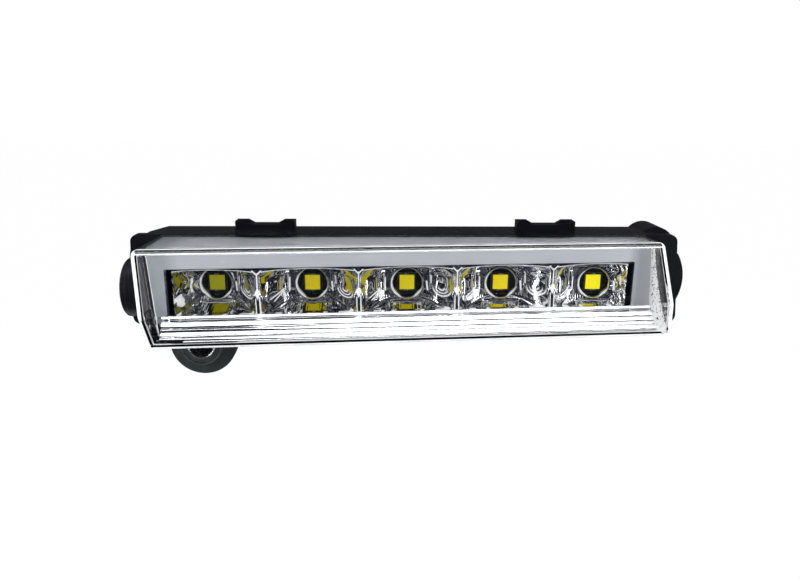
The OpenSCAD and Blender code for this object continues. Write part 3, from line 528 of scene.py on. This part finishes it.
def bezel_skirt():
    """Rings from the foot up to the face's plane, then a quarter round onto it."""
    foot, front, r_foot, r_front = lens_corners(BEZEL_IN)
    path0, normal0 = rolling_path(foot)
    path1, normal1 = rolling_path(front)
    low, far = path0 + r_foot * normal0, path1 + r_front * normal1
    low = np.stack([low[:, 0], np.zeros(len(low)), low[:, 1]], 1)
    high = np.stack([far[:, 0], front_y(path1[:, 0], path1[:, 1], BEZEL_IN) + r_front, far[:, 1]], 1)
    reach = (plane_y(high[:, 0], BEZEL_BACK) + BEZEL_ROUND) / high[:, 1]
    rings = [low + (high - low) * (reach * s)[:, None] for s in np.linspace(0, 1, 7)]
    edge = rings[-1]
    for phi in np.linspace(0, math.pi / 2, 5)[1:]:
        ring = edge.copy()
        ring[:, [0, 2]] -= BEZEL_ROUND * (1 - math.cos(phi)) * normal1
        ring[:, 1] = edge[:, 1] - BEZEL_ROUND * math.sin(phi)
        rings.append(ring)
    return np.array(rings)


skirt = bezel_skirt()
window_corners = np.array([(-1, -1), (1, -1), (1, 1), (-1, 1)], float) * [WINDOW_W / 2 - 0.4, WINDOW_H / 2 - 0.4]
window_path, window_normal = rolling_path(window_corners)
window_rings = []
for grow, deeper in ((0.9, 0.0), (0.55, 0.06), (0.4, 0.4), (0.4, BEZEL_T)):
    outline = window_path + grow * window_normal + [0.0, WINDOW_Z]
    window_rings.append(np.stack([outline[:, 0], plane_y(outline[:, 0], BEZEL_BACK) + deeper, outline[:, 1]], 1))
band = np.concatenate([skirt, [skirt[-1] + (window_rings[0] - skirt[-1]) * 0.12], window_rings])
frame_faces = grid_faces(len(band), band.shape[1], closed=True)
frame_finishes = [silver, skirt_painted_shade, bright_silver]
bezel_piece = make_piece("silver_frame", band.reshape(-1, 3), frame_faces, frame_finishes, "silver_bezel", sharp=60)


def faces_facing(mesh, axis, limit):
    """True for faces whose normal has at least this share along an axis, either way."""
    normals = np.empty(3 * len(mesh.polygons))
    mesh.polygons.foreach_get("normal", normals)
    return np.abs(normals.reshape(-1, 3)[:, axis]) > limit


middles = np.empty(3 * len(bezel_piece.data.polygons))
bezel_piece.data.polygons.foreach_get("center", middles)
middles = middles.reshape(-1, 3) / MM
at_end = faces_facing(bezel_piece.data, 0, 0.9)
shaded_low_corner = (middles[:, 2] < -12.6) & (middles[:, 0] < 0)
shining = faces_facing(bezel_piece.data, 0, 0.2) & ~at_end & (middles[:, 1] < plane_y(middles[:, 0], BEZEL_BACK) + 1.0)
# End faces and the lower left corner take the darker copy: a painted shade.
finish_index = np.select([shining, at_end | shaded_low_corner], [2, 1], 0).astype(np.int32)
bezel_piece.data.polygons.foreach_set("material_index", finish_index)
thick = bezel_piece.modifiers.new("wall", "SOLIDIFY")
thick.thickness, thick.offset = FRAME_WALL, -1.0

# %% [markdown]
# ## The bright ledge
# Below the window a stair of small steps runs down and forward to the chin. A plain stair would
# show dark risers, but the real one is nearly all light: each tread is tipped towards the viewer,
# so it mirrors the ceiling, and only a thin groove under its front edge stays dark. The stair is
# one profile carried from left to right, with its ends following the lens's slanted sides.

# %% Build the ledge
STEPS = [(2.2, 2.3, 0.50), (1.6, 1.75, 0.48), (1.2, 1.15, 0.25), (1.9, 1.8, 0.42)]
GROOVES = (0.2, 2.6, 0.3, 1.6)


def ledge_profile(taper):
    """(forward, down) points of the stair. Each step has a run, a drop and a riser: its tread
    falls in three parts, ever steeper, and its riser stands upright under the tread's edge.
    Near the left end, where the taper is 1, some risers are higher and their treads flatter."""
    points, start, top = [(0.0, 0.0), (0.25, 0.05)], 0.25, 0.05
    for (run, drop, riser), groove in zip(STEPS, GROOVES):
        fall = drop - min(riser * (1 + groove * taper), 0.7 * drop)
        points += [(start + 0.35 * run, top + 0.28 * fall), (start + 0.7 * run, top + 0.62 * fall),
                   (start + 0.96 * run, top + 0.94 * fall), (start + run, top + fall + 0.03)]
        start, top = start + run, top + drop
        points.append((start, top))
    points += [(start + 0.3, top + 0.1), (start + 0.3, top + 0.5), (0.0, top + 0.5)]
    return np.array(points)


def build_ledge():
    """The stair's profile carried along X, closed by its two ends."""
    share = np.linspace(0, 1, 121)
    taper = np.interp(share, [0.0, 0.03, 0.34, 1.0], [1.0, 1.0, 0.0, 0.0])
    profile = np.array([ledge_profile(part) for part in taper])
    level = WINDOW_Z - WINDOW_H / 2 - 0.02 - profile[..., 1]
    slope_left, slope_right = (LEAN - FLARE) / LENS_H, (LEAN + FLARE) / LENS_H
    x_left = -WINDOW_W / 2 - 3.0 - slope_left * (level + 11)
    x_right = WINDOW_W / 2 + 9.6 - slope_right * (level + 11)
    x = x_left + (x_right - x_left) * share[:, None]
    y = plane_y(x, BEZEL_BACK) - 0.02 - profile[..., 0]
    points = np.stack([x, y, level], -1)
    faces = [tuple(f) for f in grid_faces(*x.shape, closed=True)]
    count = x.shape[1]
    faces.append(tuple(range(count))[::-1])
    faces.append(tuple((len(x) - 1) * count + np.arange(count)))
    return points, faces


ledge_points, ledge_faces = build_ledge()
make_piece("bright_ledge", ledge_points.reshape(-1, 3), ledge_faces, bright_silver, "silver_bezel", sharp=25)
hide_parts("bezel")

# %% [markdown]
# ## The dark corner
# Behind the lens's lower left corner a black sheet paints the shade in the gap between frame and lens. It is a
# strip of the lens's own inner form, set a little further in, so it follows the corner's curve.

# %% Build the shade sheet
SHADE_SHEET_GAP, SHADE_SHEET_WALL = 0.35, 0.0003
shade_sheet_form = lens_rings(WALL + SHADE_SHEET_GAP, 0.0)
shade_sheet_columns = np.r_[-12:0, 0:14]
shade_sheet_strip = shade_sheet_form[-16:-1][:, shade_sheet_columns]
# A black sheet put where only shade falls: a painted shade.
shade_sheet_black, tree, shader = new_material("shade_sheet_black", (0.010, 0.010, 0.013), 0.2)
vary(tree, shader, "Roughness", noise(tree, 320.0, 4.0), [(0.3, 0.14), (0.7, 0.28)])
shade_sheet_faces = grid_faces(*shade_sheet_strip.shape[:2])
shade_sheet = make_piece("corner_shade_sheet", shade_sheet_strip.reshape(-1, 3), shade_sheet_faces, shade_sheet_black, "black_plastic")
closing = shade_sheet.modifiers.new("wall", "SOLIDIFY")
closing.thickness, closing.offset = SHADE_SHEET_WALL, -1.0

# %% [markdown]
# ## The reflector
# The reflector is a mirror, so its picture is made by its slopes: level parts show the dark room in
# front, and only what tips up or sideways catches the light. It is one height field over X and Z:
# five boxy cells with soft floors, round-nosed dividers between them, a round lip at each light
# source, narrow flutes, and pillows at the sides. All are sums and a soft maximum of formulas on
# one fine grid, which keeps every blend smooth. The brightest lines on it are painted highlights.

# %% Reflector sizes
REFLECTOR_W, REFLECTOR_H, REFLECTOR_BACK, REFLECTOR_Z = 206.0, 25.0, 16.7, 0.3
FLOOR_Y, BOARD_SEAT, LOWER = 0.6, 2.2, 1.3
CELLS, PITCH, LED_X, LED_Z = 5, 44.8, 0.4, -1.4
DISC_R, LIP_R = 7.0, 7.35


def soft_max(a, b, width):
    """The larger of two heights, blended over this width."""
    return 0.5 * (a + b + np.sqrt((a - b) ** 2 + width ** 2))


def pillow(x, z, middle, half, power=6.0):
    """1 inside a rounded rectangle, falling softly to 0 at its edge: 1 - |x|^power - |z|^power."""
    u, w = np.abs((x - middle[0]) / half[0]), np.abs((z - middle[1]) / half[1])
    return np.clip(1 - u ** power - w ** power, 0, None)


def divider_half(z):
    """Half-width of a divider's nose: wide at the top, thin, with a flare below the middle."""
    return 0.9 + 2.0 * np.clip((z - 5.5) / 5, 0, 1) ** 1.5 + 1.1 * np.exp(-((z + 3.6) / 2.2) ** 2)


def reflector_y(x, z):
    """Depth of the mirror surface at (x, z): cell walls, floor, divider noses, lips and pillows."""
    front = plane_y(x, REFLECTOR_BACK)
    depth = FLOOR_Y - front
    cell = np.clip(np.round((x - LED_X) / PITCH), -(CELLS // 2), CELLS // 2)
    local = x - LED_X - cell * PITCH
    nose = divider_half(z)
    top = 9.9 - 1.3 * (np.abs(local) / 21) ** 2
    up = np.clip((z - REFLECTOR_Z) / (top - REFLECTOR_Z), 0, None)
    down = np.clip((REFLECTOR_Z - z) / 13.2, 0, None)
    side = np.abs(local) / (PITCH / 2 - nose)
    end = np.clip(1 - (REFLECTOR_W / 2 - np.abs(x)) / 8.5, 0, 1)
    bottom = 0.52 * np.clip((down - 0.55) / 0.45, 0, 1) ** 1.4 + 0.48 * down ** 40
    # the end walls are folded: a wave on their height makes them steeper and flatter by turns
    folds = end ** 3 + 0.05 * np.sin(17 * end ** 3 + 1.6 * np.sin(0.9 * z)) * np.clip(6 * end, 0, 1)
    wall = (up ** 24 + bottom ** 3 + side ** 9 + np.clip(folds, 0, 1) ** 3) ** (1 / 3)
    y = FLOOR_Y - depth * wall
    # a thin lip round the light source, and the cup inside it
    away = np.hypot(local, z - LED_Z)
    y = y - 1.1 * np.exp(-((away - LIP_R) / 0.38) ** 2)
    y = np.where(away < DISC_R, np.minimum(BOARD_SEAT, y + (DISC_R - away) * 3), y)
    # a level trough under the disc
    y = y + 1.3 * np.exp(-((z + 10.4) / 0.9) ** 2) * pillow(local, z, (0.0, -10.4), (9.5, 6.0), 6.0)
    # fine upright ribs on the lower wall
    y = y + 0.09 * np.sin(5.2 * local) * np.clip((-z - 6.6) / 1.2, 0, 1) * np.clip((14 - np.abs(local)) / 3, 0, 1)
    # narrow flutes, pillows at the sides and two small ribs on the floor
    for place in (-11.3, 11.5):
        y = y - 0.8 * np.exp(-((local - place) / 0.45) ** 2) * pillow(local, z, (place, 0.0), (2.0, 4.6), 4.0)
    y = y - 1.9 * pillow(local, z, (-16.4, -2.2), (3.0, 6.2), 4.0)
    y = y + 1.1 * pillow(local, z, (16.6, -2.0), (4.0, 6.4), 5.0) * (0.4 + 0.25 * (z + 8) / 6)
    for place in (-6.8, 6.8):
        y = y - 1.2 * np.exp(-((local - place) / 0.6) ** 2) * np.exp(-((z + 11.9) / 1.2) ** 2)
    return soft_max(y, front + 0.25, 0.6)


def stroke(x, z, start, end, half):
    """1 along the line from start to end, falling to 0 this far beside it: 1 - (distance / half)^2."""
    dx, dz = end[0] - start[0], end[1] - start[1]
    share = np.clip(((x - start[0]) * dx + (z - start[1]) * dz) / (dx * dx + dz * dz), 0, 1)
    away = np.hypot(x - start[0] - share * dx, z - start[1] - share * dz)
    return np.clip(1 - (away / half) ** 2, 0, 1)


def painted_glints(x, y, z):
    """How strongly each point is painted as a highlight, from 0 to 1: the lip, thin lines on the dividers,
    the arch under the rim, folds at the sides and small pads on the lower wall."""
    cell = np.clip(np.round((x - LED_X) / PITCH), -(CELLS // 2), CELLS // 2)
    local = x - LED_X - cell * PITCH
    front = plane_y(x, REFLECTOR_BACK)
    away, angle = np.hypot(local, z - LED_Z), np.arctan2(z - LED_Z, local)
    accent = (np.exp(-((angle + 2.4) / 0.35) ** 2) + np.exp(-((angle + 0.75) / 0.3) ** 2)
              + 0.7 * np.exp(-((np.abs(angle) - 2.9) / 0.55) ** 2))
    bright = np.clip(0.3 + accent, 0, 1) * np.exp(-((away - LIP_R) / (0.26 + 0.22 * accent)) ** 2)
    lines = [((-10.4, 1.6), (-10.5, -4.4), 0.42), ((9.3, -0.6), (9.7, -4.6), 0.5),
             ((11.2, 2.6), (11.3, -1.0), 0.3), ((-17.6, -5.6), (-12.9, -3.2), 0.5),
             ((-13.2, -3.4), (-12.5, -8.2), 0.7), ((-16.6, -7.6), (-13.3, -4.2), 0.4)]
    for start, end, half in lines:
        bright = np.maximum(bright, stroke(local, z, start, end, half))
    fold, turn = np.hypot((local - 15.9) / 0.85, z + 1.9), np.arctan2(z + 1.9, local - 15.9)
    lower = np.clip(0.25 - np.sin(turn), 0, 1)
    for radius, half in ((1.6, 0.3), (3.1, 0.26), (4.5, 0.34)):
        bright = np.maximum(bright, lower * np.exp(-((fold - radius) / half) ** 2))
    # dividers: the cell border nearest to the point, on the front half of the wall
    border = x - LED_X - (np.floor((x - LED_X) / PITCH) + 0.5) * PITCH
    nose = np.clip((front + 6 - y) / 4, 0, 1) * (np.abs(x - LED_X) < 2.2 * PITCH)
    flare = np.clip(1 - np.abs(border) / 1.5 - np.abs(z + 1.2) / 3.4, 0, 1) * 2.4
    post_lines = [((0.0, 8.0), (0.0, 1.5), 0.34), ((0.0, 7.4), (-1.9, 9.3), 0.34), ((0.0, 7.4), (1.9, 9.3), 0.34),
                  ((-0.9, -3.6), (-0.7, -13.0), 0.26), ((0.9, -3.0), (1.1, -13.0), 0.34)]
    posts = np.maximum.reduce([flare] + [stroke(border, z, *line) for line in post_lines])
    bright = np.maximum(bright, nose * posts)
    arch = REFLECTOR_Z + 9.6 - 1.3 * (np.abs(local) / 21) ** 2
    bright = np.maximum(bright, 0.9 * np.exp(-((z - arch - 0.1) / 0.2) ** 2) * (np.abs(local) < 20.5))
    low = np.exp(-((y - front - 4.2) / 2.2) ** 2) * (z < -10.6)
    pad_forms = [(16.4, 3.6, 6.0), (-14.2, 1.6, 6.0), (-6.7, 1.0, 2.0), (6.9, 1.2, 2.0)]
    pads = np.maximum.reduce([pillow(local, z, (at, -12), (half, 9), power) for at, half, power in pad_forms])
    return np.clip(np.maximum(bright, low * np.clip(2 * pads, 0, 1)), 0, 1)


print("reflector depth at the ends:", [round(float(plane_y(s * REFLECTOR_W / 2, REFLECTOR_BACK)), 1) for s in (-1, 1)])


# %% Build the reflector
def build_reflector(step=0.235):
    """The height field with holes at the discs, and a skirt round it down to the board."""
    columns = int(REFLECTOR_W / step) + 1
    rows = int(REFLECTOR_H / step) + 1
    u = np.linspace(-1, 1, rows)
    spread = 0.5 * u + 0.5 * np.sin(math.pi * u / 2)
    x, z = np.meshgrid(np.linspace(-REFLECTOR_W / 2, REFLECTOR_W / 2, columns),
                       REFLECTOR_Z - LOWER / 2 + (REFLECTOR_H + LOWER) / 2 * spread)
    y = reflector_y(x, z)
    points = np.stack([x, y, z], -1)
    faces = grid_faces(rows, columns)
    middle_y = y.reshape(-1)[faces].mean(1)
    faces = faces[middle_y < BOARD_SEAT - 0.02]
    index = np.arange(rows * columns).reshape(rows, columns)
    rim = np.concatenate([index[0], index[1:, -1], index[-1, -2::-1], index[-2:0:-1, 0]])
    edge = points.reshape(-1, 3)[rim]
    back = edge.copy()
    back[:, 1] = BOARD_SEAT
    skirt_faces = grid_faces(2, len(rim), closed=True)[:, ::-1]
    return gather([(points, faces), (np.stack([edge, back]), skirt_faces)])


# Where the glint attribute is high, the mirror turns matt white and glows: painted highlights.
mirror, tree, shader = new_material("mirror_coat", (0.74, 0.75, 0.77), 0.05, Metallic=1.0)
painted_glint = tree.nodes.new("ShaderNodeAttribute")
painted_glint.attribute_name = "painted_glint"
vary(tree, shader, "Base Color", painted_glint.outputs["Fac"],
     [(0.0, (0.74, 0.75, 0.77)), (0.7, (0.97, 0.97, 0.98))])
vary(tree, shader, "Metallic", painted_glint.outputs["Fac"], [(0.0, 1.0), (0.6, 0.1)])
vary(tree, shader, "Roughness", painted_glint.outputs["Fac"], [(0.0, 0.04), (0.6, 0.35)])
vary(tree, shader, "Emission Color", painted_glint.outputs["Fac"],
     [(0.25, (0.0, 0.0, 0.0)), (0.8, (1.0, 1.0, 1.0))])
shader.inputs["Emission Strength"].default_value = 0.45
grain(tree, shader, noise(tree, 420.0, 2.0), 0.18)
reflector_piece = make_piece("mirror_cells", *build_reflector(), mirror, "reflector_metal", sharp=75)
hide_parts("reflector")


def write_painted_glints(mesh):
    """Store the painted highlight of every vertex as the mesh's attribute that the material reads."""
    place = np.empty(3 * len(mesh.vertices))
    mesh.vertices.foreach_get("co", place)
    place = place.reshape(-1, 3) / MM
    values = painted_glints(place[:, 0], place[:, 1], place[:, 2]).astype(np.float32)
    mesh.attributes.new("painted_glint", "FLOAT", "POINT").data.foreach_set("value", values)
    return values


print("bright share:", round(float(write_painted_glints(reflector_piece.data).mean()), 3))

# %% [markdown]
# ## Black plastics
# The housing is a satin black moulding with a fine eroded grain, and the clips are glossier. A pure
# black looks like a hole in a picture, so both keep a trace of grey and uneven gloss.

# %% Black materials
black_plastic, tree, shader = new_material("black_plastic", (0.012, 0.012, 0.014), 0.45, Specular_IOR_Level=0.06)
vary(tree, shader, "Roughness", noise(tree, 260.0, 5.0), [(0.3, 0.18), (0.7, 0.30)])
vary(tree, shader, "Base Color", noise(tree, 90.0, 4.0),
     [(0.3, (0.006, 0.006, 0.008)), (0.75, (0.011, 0.011, 0.013))])
grain(tree, shader, noise(tree, 3000.0, 2.0), 0.12)

gloss_black, tree, shader = new_material("clip_gloss", (0.004, 0.004, 0.006), 0.14, Specular_IOR_Level=0.3)
vary(tree, shader, "Roughness", noise(tree, 320.0, 4.0), [(0.3, 0.10), (0.7, 0.22)])
grain(tree, shader, noise(tree, 700.0, 2.0), 0.05)

lug_black, tree, shader = new_material("lug_black", (0.026, 0.034, 0.032), 0.35)
vary(tree, shader, "Base Color", noise(tree, 200.0, 5.0),
     [(0.3, (0.018, 0.026, 0.024)), (0.75, (0.034, 0.043, 0.041))])
vary(tree, shader, "Roughness", noise(tree, 500.0, 3.0), [(0.3, 0.28), (0.7, 0.42)])
grain(tree, shader, noise(tree, 2200.0, 3.0), 0.2)

socket_black, tree, shader = new_material("socket_black", (0.020, 0.020, 0.021), 0.5)
vary(tree, shader, "Roughness", noise(tree, 500.0, 4.0), [(0.3, 0.42), (0.7, 0.58)])
grain(tree, shader, noise(tree, 4200.0, 2.0), 0.2)
print("black plastics ready")

# %% [markdown]
# ## Rubber, sealant and solder mask
# Rubber is dull and slightly green-grey with a dusty bloom. The sealant bead is softly wavy. The
# light-source board is covered by a dark solder mask that shows faint copper areas below it.

# %% Soft and board materials
rubber, tree, shader = new_material("grommet_rubber", (0.022, 0.030, 0.028), 0.55)
vary(tree, shader, "Base Color", noise(tree, 240.0, 5.0),
     [(0.3, (0.018, 0.024, 0.022)), (0.75, (0.035, 0.045, 0.042))])
vary(tree, shader, "Roughness", noise(tree, 700.0, 3.0), [(0.3, 0.42), (0.7, 0.62)])
grain(tree, shader, noise(tree, 1500.0, 4.0), 0.3)

sealant, tree, shader = new_material("sealant_grey", (0.12, 0.12, 0.13), 0.6)
vary(tree, shader, "Base Color", noise(tree, 300.0, 4.0),
     [(0.3, (0.09, 0.09, 0.10)), (0.7, (0.16, 0.16, 0.17))])
grain(tree, shader, noise(tree, 600.0, 3.0), 0.8)

orange_seal, tree, shader = new_material("seal_orange", (0.45, 0.10, 0.02), 0.5)
vary(tree, shader, "Base Color", noise(tree, 400.0, 4.0),
     [(0.3, (0.38, 0.08, 0.02)), (0.7, (0.52, 0.13, 0.03))])
grain(tree, shader, noise(tree, 1800.0, 3.0), 0.3)

mask_dark, tree, shader = new_material("mask_dark", (0.016, 0.024, 0.021), 0.3, Specular_IOR_Level=0.2)
vary(tree, shader, "Base Color", noise(tree, 160.0, 2.0),
     [(0.45, (0.012, 0.019, 0.017)), (0.55, (0.024, 0.034, 0.030))])
grain(tree, shader, noise(tree, 2600.0, 2.0), 0.1)

mask_green, tree, shader = new_material("mask_green", (0.015, 0.09, 0.035), 0.32)
vary(tree, shader, "Base Color", noise(tree, 220.0, 2.0),
     [(0.47, (0.010, 0.070, 0.028)), (0.53, (0.022, 0.115, 0.045))])
grain(tree, shader, noise(tree, 2600.0, 2.0), 0.1)
print("soft and board materials ready")

# %% [markdown]
# ## Metals
# Cast aluminium has a matt, slightly blotchy skin, turned parts have fine rings, and zinc plate has
# a cool, even shine. Each is a metallic shader with its own roughness pattern.

# %% Metal materials
def metal(name, dark, light, roughness, scale, bumps, stretch=(1, 1, 1)):
    """A metal whose colour and roughness vary between two values on noise of one scale."""
    material, tree, shader = new_material(name, light, roughness[0], Metallic=1.0)
    vary(tree, shader, "Base Color", noise(tree, scale, 4.0, stretch=stretch), [(0.3, dark), (0.7, light)])
    vary(tree, shader, "Roughness", noise(tree, 2.3 * scale, 3.0, stretch=stretch),
         [(0.3, roughness[0]), (0.7, roughness[1])])
    grain(tree, shader, noise(tree, 6 * scale, 3.0, stretch=stretch), bumps)
    return material


cast_aluminium = metal("cast_aluminium", (0.50, 0.51, 0.53), (0.64, 0.65, 0.67), (0.38, 0.55), 300.0, 0.6)
sheet_aluminium = metal("sheet_aluminium", (0.60, 0.61, 0.63), (0.70, 0.71, 0.73), (0.22, 0.34), 200.0, 0.2,
                        (0.1, 1, 1))
zinc_steel = metal("zinc_steel", (0.55, 0.56, 0.60), (0.68, 0.69, 0.72), (0.2, 0.32), 500.0, 0.15)
turned_brass = metal("turned_brass", (0.55, 0.38, 0.13), (0.70, 0.52, 0.22), (0.22, 0.34), 400.0, 0.2, (1, 8, 1))
copper_wire = metal("copper_wire", (0.42, 0.17, 0.06), (0.62, 0.28, 0.12), (0.25, 0.36), 500.0, 0.2)
print("metals ready")

# %% [markdown]
# ## Light sources
# The emitters are squares of yellow phosphor with a faint grain, on dark carriers. The colour follows
# X across the lamp, duller at the left, where the cells are deeper: a painted shade. A very small
# emission, a painted glow, keeps the yellow clean inside the dark mirrors.

# %% Light-source materials
phosphor, tree, shader = new_material("phosphor_yellow", (0.75, 0.72, 0.03), 0.35)
# The colour is duller towards the left: a painted shade.
spread = ramp(tree, along(tree, "X", -0.11, 0.11),
              [(0.095, (0.30, 0.29, 0.004)), (0.3, (0.62, 0.51, 0.002)), (0.5, (0.66, 0.56, 0.002)),
               (0.705, (0.82, 0.66, 0.002)), (0.91, (1.0, 0.88, 0.003))])
fleck = ramp(tree, noise(tree, 2400.0, 3.0), [(0.3, 0.86), (0.7, 1.0)])
tinted = tree.nodes.new("ShaderNodeMix")
tinted.data_type, tinted.blend_type = "RGBA", "MULTIPLY"
tinted.inputs["Factor"].default_value = 1.0
tree.links.new(spread, tinted.inputs["A"])
tree.links.new(fleck, tinted.inputs["B"])
tree.links.new(tinted.outputs["Result"], shader.inputs["Base Color"])
tree.links.new(tinted.outputs["Result"], shader.inputs["Emission Color"])
# A small glow painted into the emitters.
shader.inputs["Emission Strength"].default_value = 0.6

carrier_dark, tree, shader = new_material("carrier_dark", (0.030, 0.034, 0.028), 0.3)
vary(tree, shader, "Base Color", noise(tree, 900.0, 3.0),
     [(0.3, (0.022, 0.026, 0.021)), (0.7, (0.042, 0.047, 0.038))])
grain(tree, shader, noise(tree, 2200.0, 3.0), 0.2)

capacitor_blue, tree, shader = new_material("sleeve_blue", (0.03, 0.05, 0.16), 0.3)
vary(tree, shader, "Base Color", noise(tree, 350.0, 3.0),
     [(0.3, (0.024, 0.040, 0.13)), (0.7, (0.040, 0.060, 0.19))])
chip_black, tree, shader = new_material("chip_black", (0.014, 0.014, 0.015), 0.45)
vary(tree, shader, "Roughness", noise(tree, 900.0, 3.0), [(0.3, 0.40), (0.7, 0.52)])
grain(tree, shader, noise(tree, 3600.0, 2.0), 0.2)
print("light-source materials ready")

# %% [markdown]
# ## Dress the nodes that stay
# Most solids keep their own mesh and only change their finish. A dictionary from a word in a
# node's name to its material is easier to read and to check than forty separate lines.

# %% Assign finishes
FINISHES = [("clip_", gloss_black), ("lower_lug", lug_black), ("phosphor_", phosphor),
            ("led_board", mask_dark), ("led_", carrier_dark),
            ("lug_grommet", rubber), ("lug_sleeve", zinc_steel), ("upper_insert", turned_brass),
            ("connector_pins", turned_brass), ("connector_seal", orange_seal), ("connector", socket_black),
            ("heat_sink_gasket", rubber), ("heat_sink_screws", zinc_steel), ("heat_sink", cast_aluminium),
            ("heat_spreader", sheet_aluminium), ("screws", zinc_steel), ("driver_board", mask_green),
            ("driver_coil", copper_wire), ("driver_capacitors", capacitor_blue), ("driver_chip", chip_black),
            ("breather_vent", rubber), ("lens_seal", sealant)]
replaced = ("lens", "bezel", "reflector")
for name, obj in nodes.items():
    if name in replaced:
        continue
    finish = next((material for word, material in FINISHES if word in name), black_plastic)
    for material_slot in obj.material_slots:
        material_slot.material = finish
print("dressed:", len(nodes) - len(replaced))

# %% [markdown]
# ## Bond pads
# Each emitter has a small bright pad above and below it, where its wires are bonded. They are tiny,
# but they glint in the dark cup. A pad is a low pillow: a grid whose height falls off to its edge.

# %% Build the pads
PAD_HALF, PAD_RISE = (1.3, 0.32), 0.22
CARRIER_FRONT, EMITTER_HALF = 1.4, 3.5


def pad(middle_x, middle_z, steps=9):
    """A pillow on the carrier: height = rise * (1 - u^4)(1 - w^4) over u and w from -1 to 1."""
    u, w = np.meshgrid(np.linspace(-1, 1, steps), np.linspace(-1, 1, steps))
    rise = PAD_RISE * (1 - u ** 4) * (1 - w ** 4)
    points = np.stack([middle_x + PAD_HALF[0] * u, CARRIER_FRONT - 0.01 - rise, middle_z + PAD_HALF[1] * w], -1)
    return points, grid_faces(steps, steps)


pads = []
for k in range(CELLS):
    source_x = LED_X + (k - CELLS // 2) * PITCH
    pads += [pad(source_x, LED_Z + side * (EMITTER_HALF + 0.5)) for side in (-1, 1)]
make_piece("bond_pads", *gather(pads), zinc_steel, "steel", sharp=60)

# %% [markdown]
# ## The skin in the lug
# The hole of the lug looks black from the front. A grommet often has a thin skin across its far
# end, which keeps dust out until the bolt is pushed through. Here it is a shallow dome of
# revolution: rings round an axis, with the radius and the depth of a circle's arc.

# %% Build the skin
SKIN_AXIS, SKIN_R, SKIN_Y, SKIN_T, SKIN_RISE = (-101.0, -35.7), 5.9, 19.2, 0.5, 1.1
radius = SKIN_R * np.linspace(0, 1, 9)[:, None]
turn = np.linspace(0, 2 * math.pi, 49)[None, :-1]
dome = SKIN_Y + SKIN_RISE * (radius / SKIN_R) ** 2
front_skin = np.stack([SKIN_AXIS[0] + radius * np.cos(turn), dome - SKIN_RISE + 0 * turn,
                       SKIN_AXIS[1] + radius * np.sin(turn)], -1)
skin = np.concatenate([front_skin, (front_skin + [0, SKIN_T, 0])[::-1]])
skin_faces = grid_faces(*skin.shape[:2], closed=True)[:, ::-1]
make_piece("bore_skin", skin.reshape(-1, 3), skin_faces, rubber, "rubber", sharp=60)

# %% [markdown]
# ## Rims on the lug
# The front edge of the steel sleeve is rolled over, and the grommet has a raised bead near its
# outer edge. Both are thin rings: a small circle carried round a large one.

# %% Build the rims
def ring(name, radius, y, tube, material, slot, steps=72, arc=12):
    """A ring round the lug's axis: distance from the axis = radius + tube * cos, depth = y - tube * sin."""
    around = np.linspace(0, 2 * math.pi, steps + 1)[:-1, None]
    small = np.linspace(0, 2 * math.pi, arc + 1)[None, :-1]
    away = radius + tube * np.cos(small)
    points = np.stack([SKIN_AXIS[0] + away * np.cos(around), y - tube * np.sin(small) + 0 * around,
                       SKIN_AXIS[1] + away * np.sin(around)], -1)
    closed = np.concatenate([points, points[:1]])
    faces = grid_faces(*closed.shape[:2], closed=True)[:, ::-1]
    return make_piece(name, closed.reshape(-1, 3), faces, material, slot, sharp=80)


grommet_box, sleeve_box = (np.array(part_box(name)) / MM for name in ("lug_grommet", "lug_sleeve"))
grommet_r = (grommet_box[1, 0] - grommet_box[0, 0]) / 2
ring("sleeve_rim", 6.5, sleeve_box[0, 1], 0.42, zinc_steel, "steel")
ring("grommet_bead", grommet_r - 0.6, grommet_box[0, 1], 0.4, rubber, "rubber")
print("grommet radius:", round(float(grommet_r), 2))
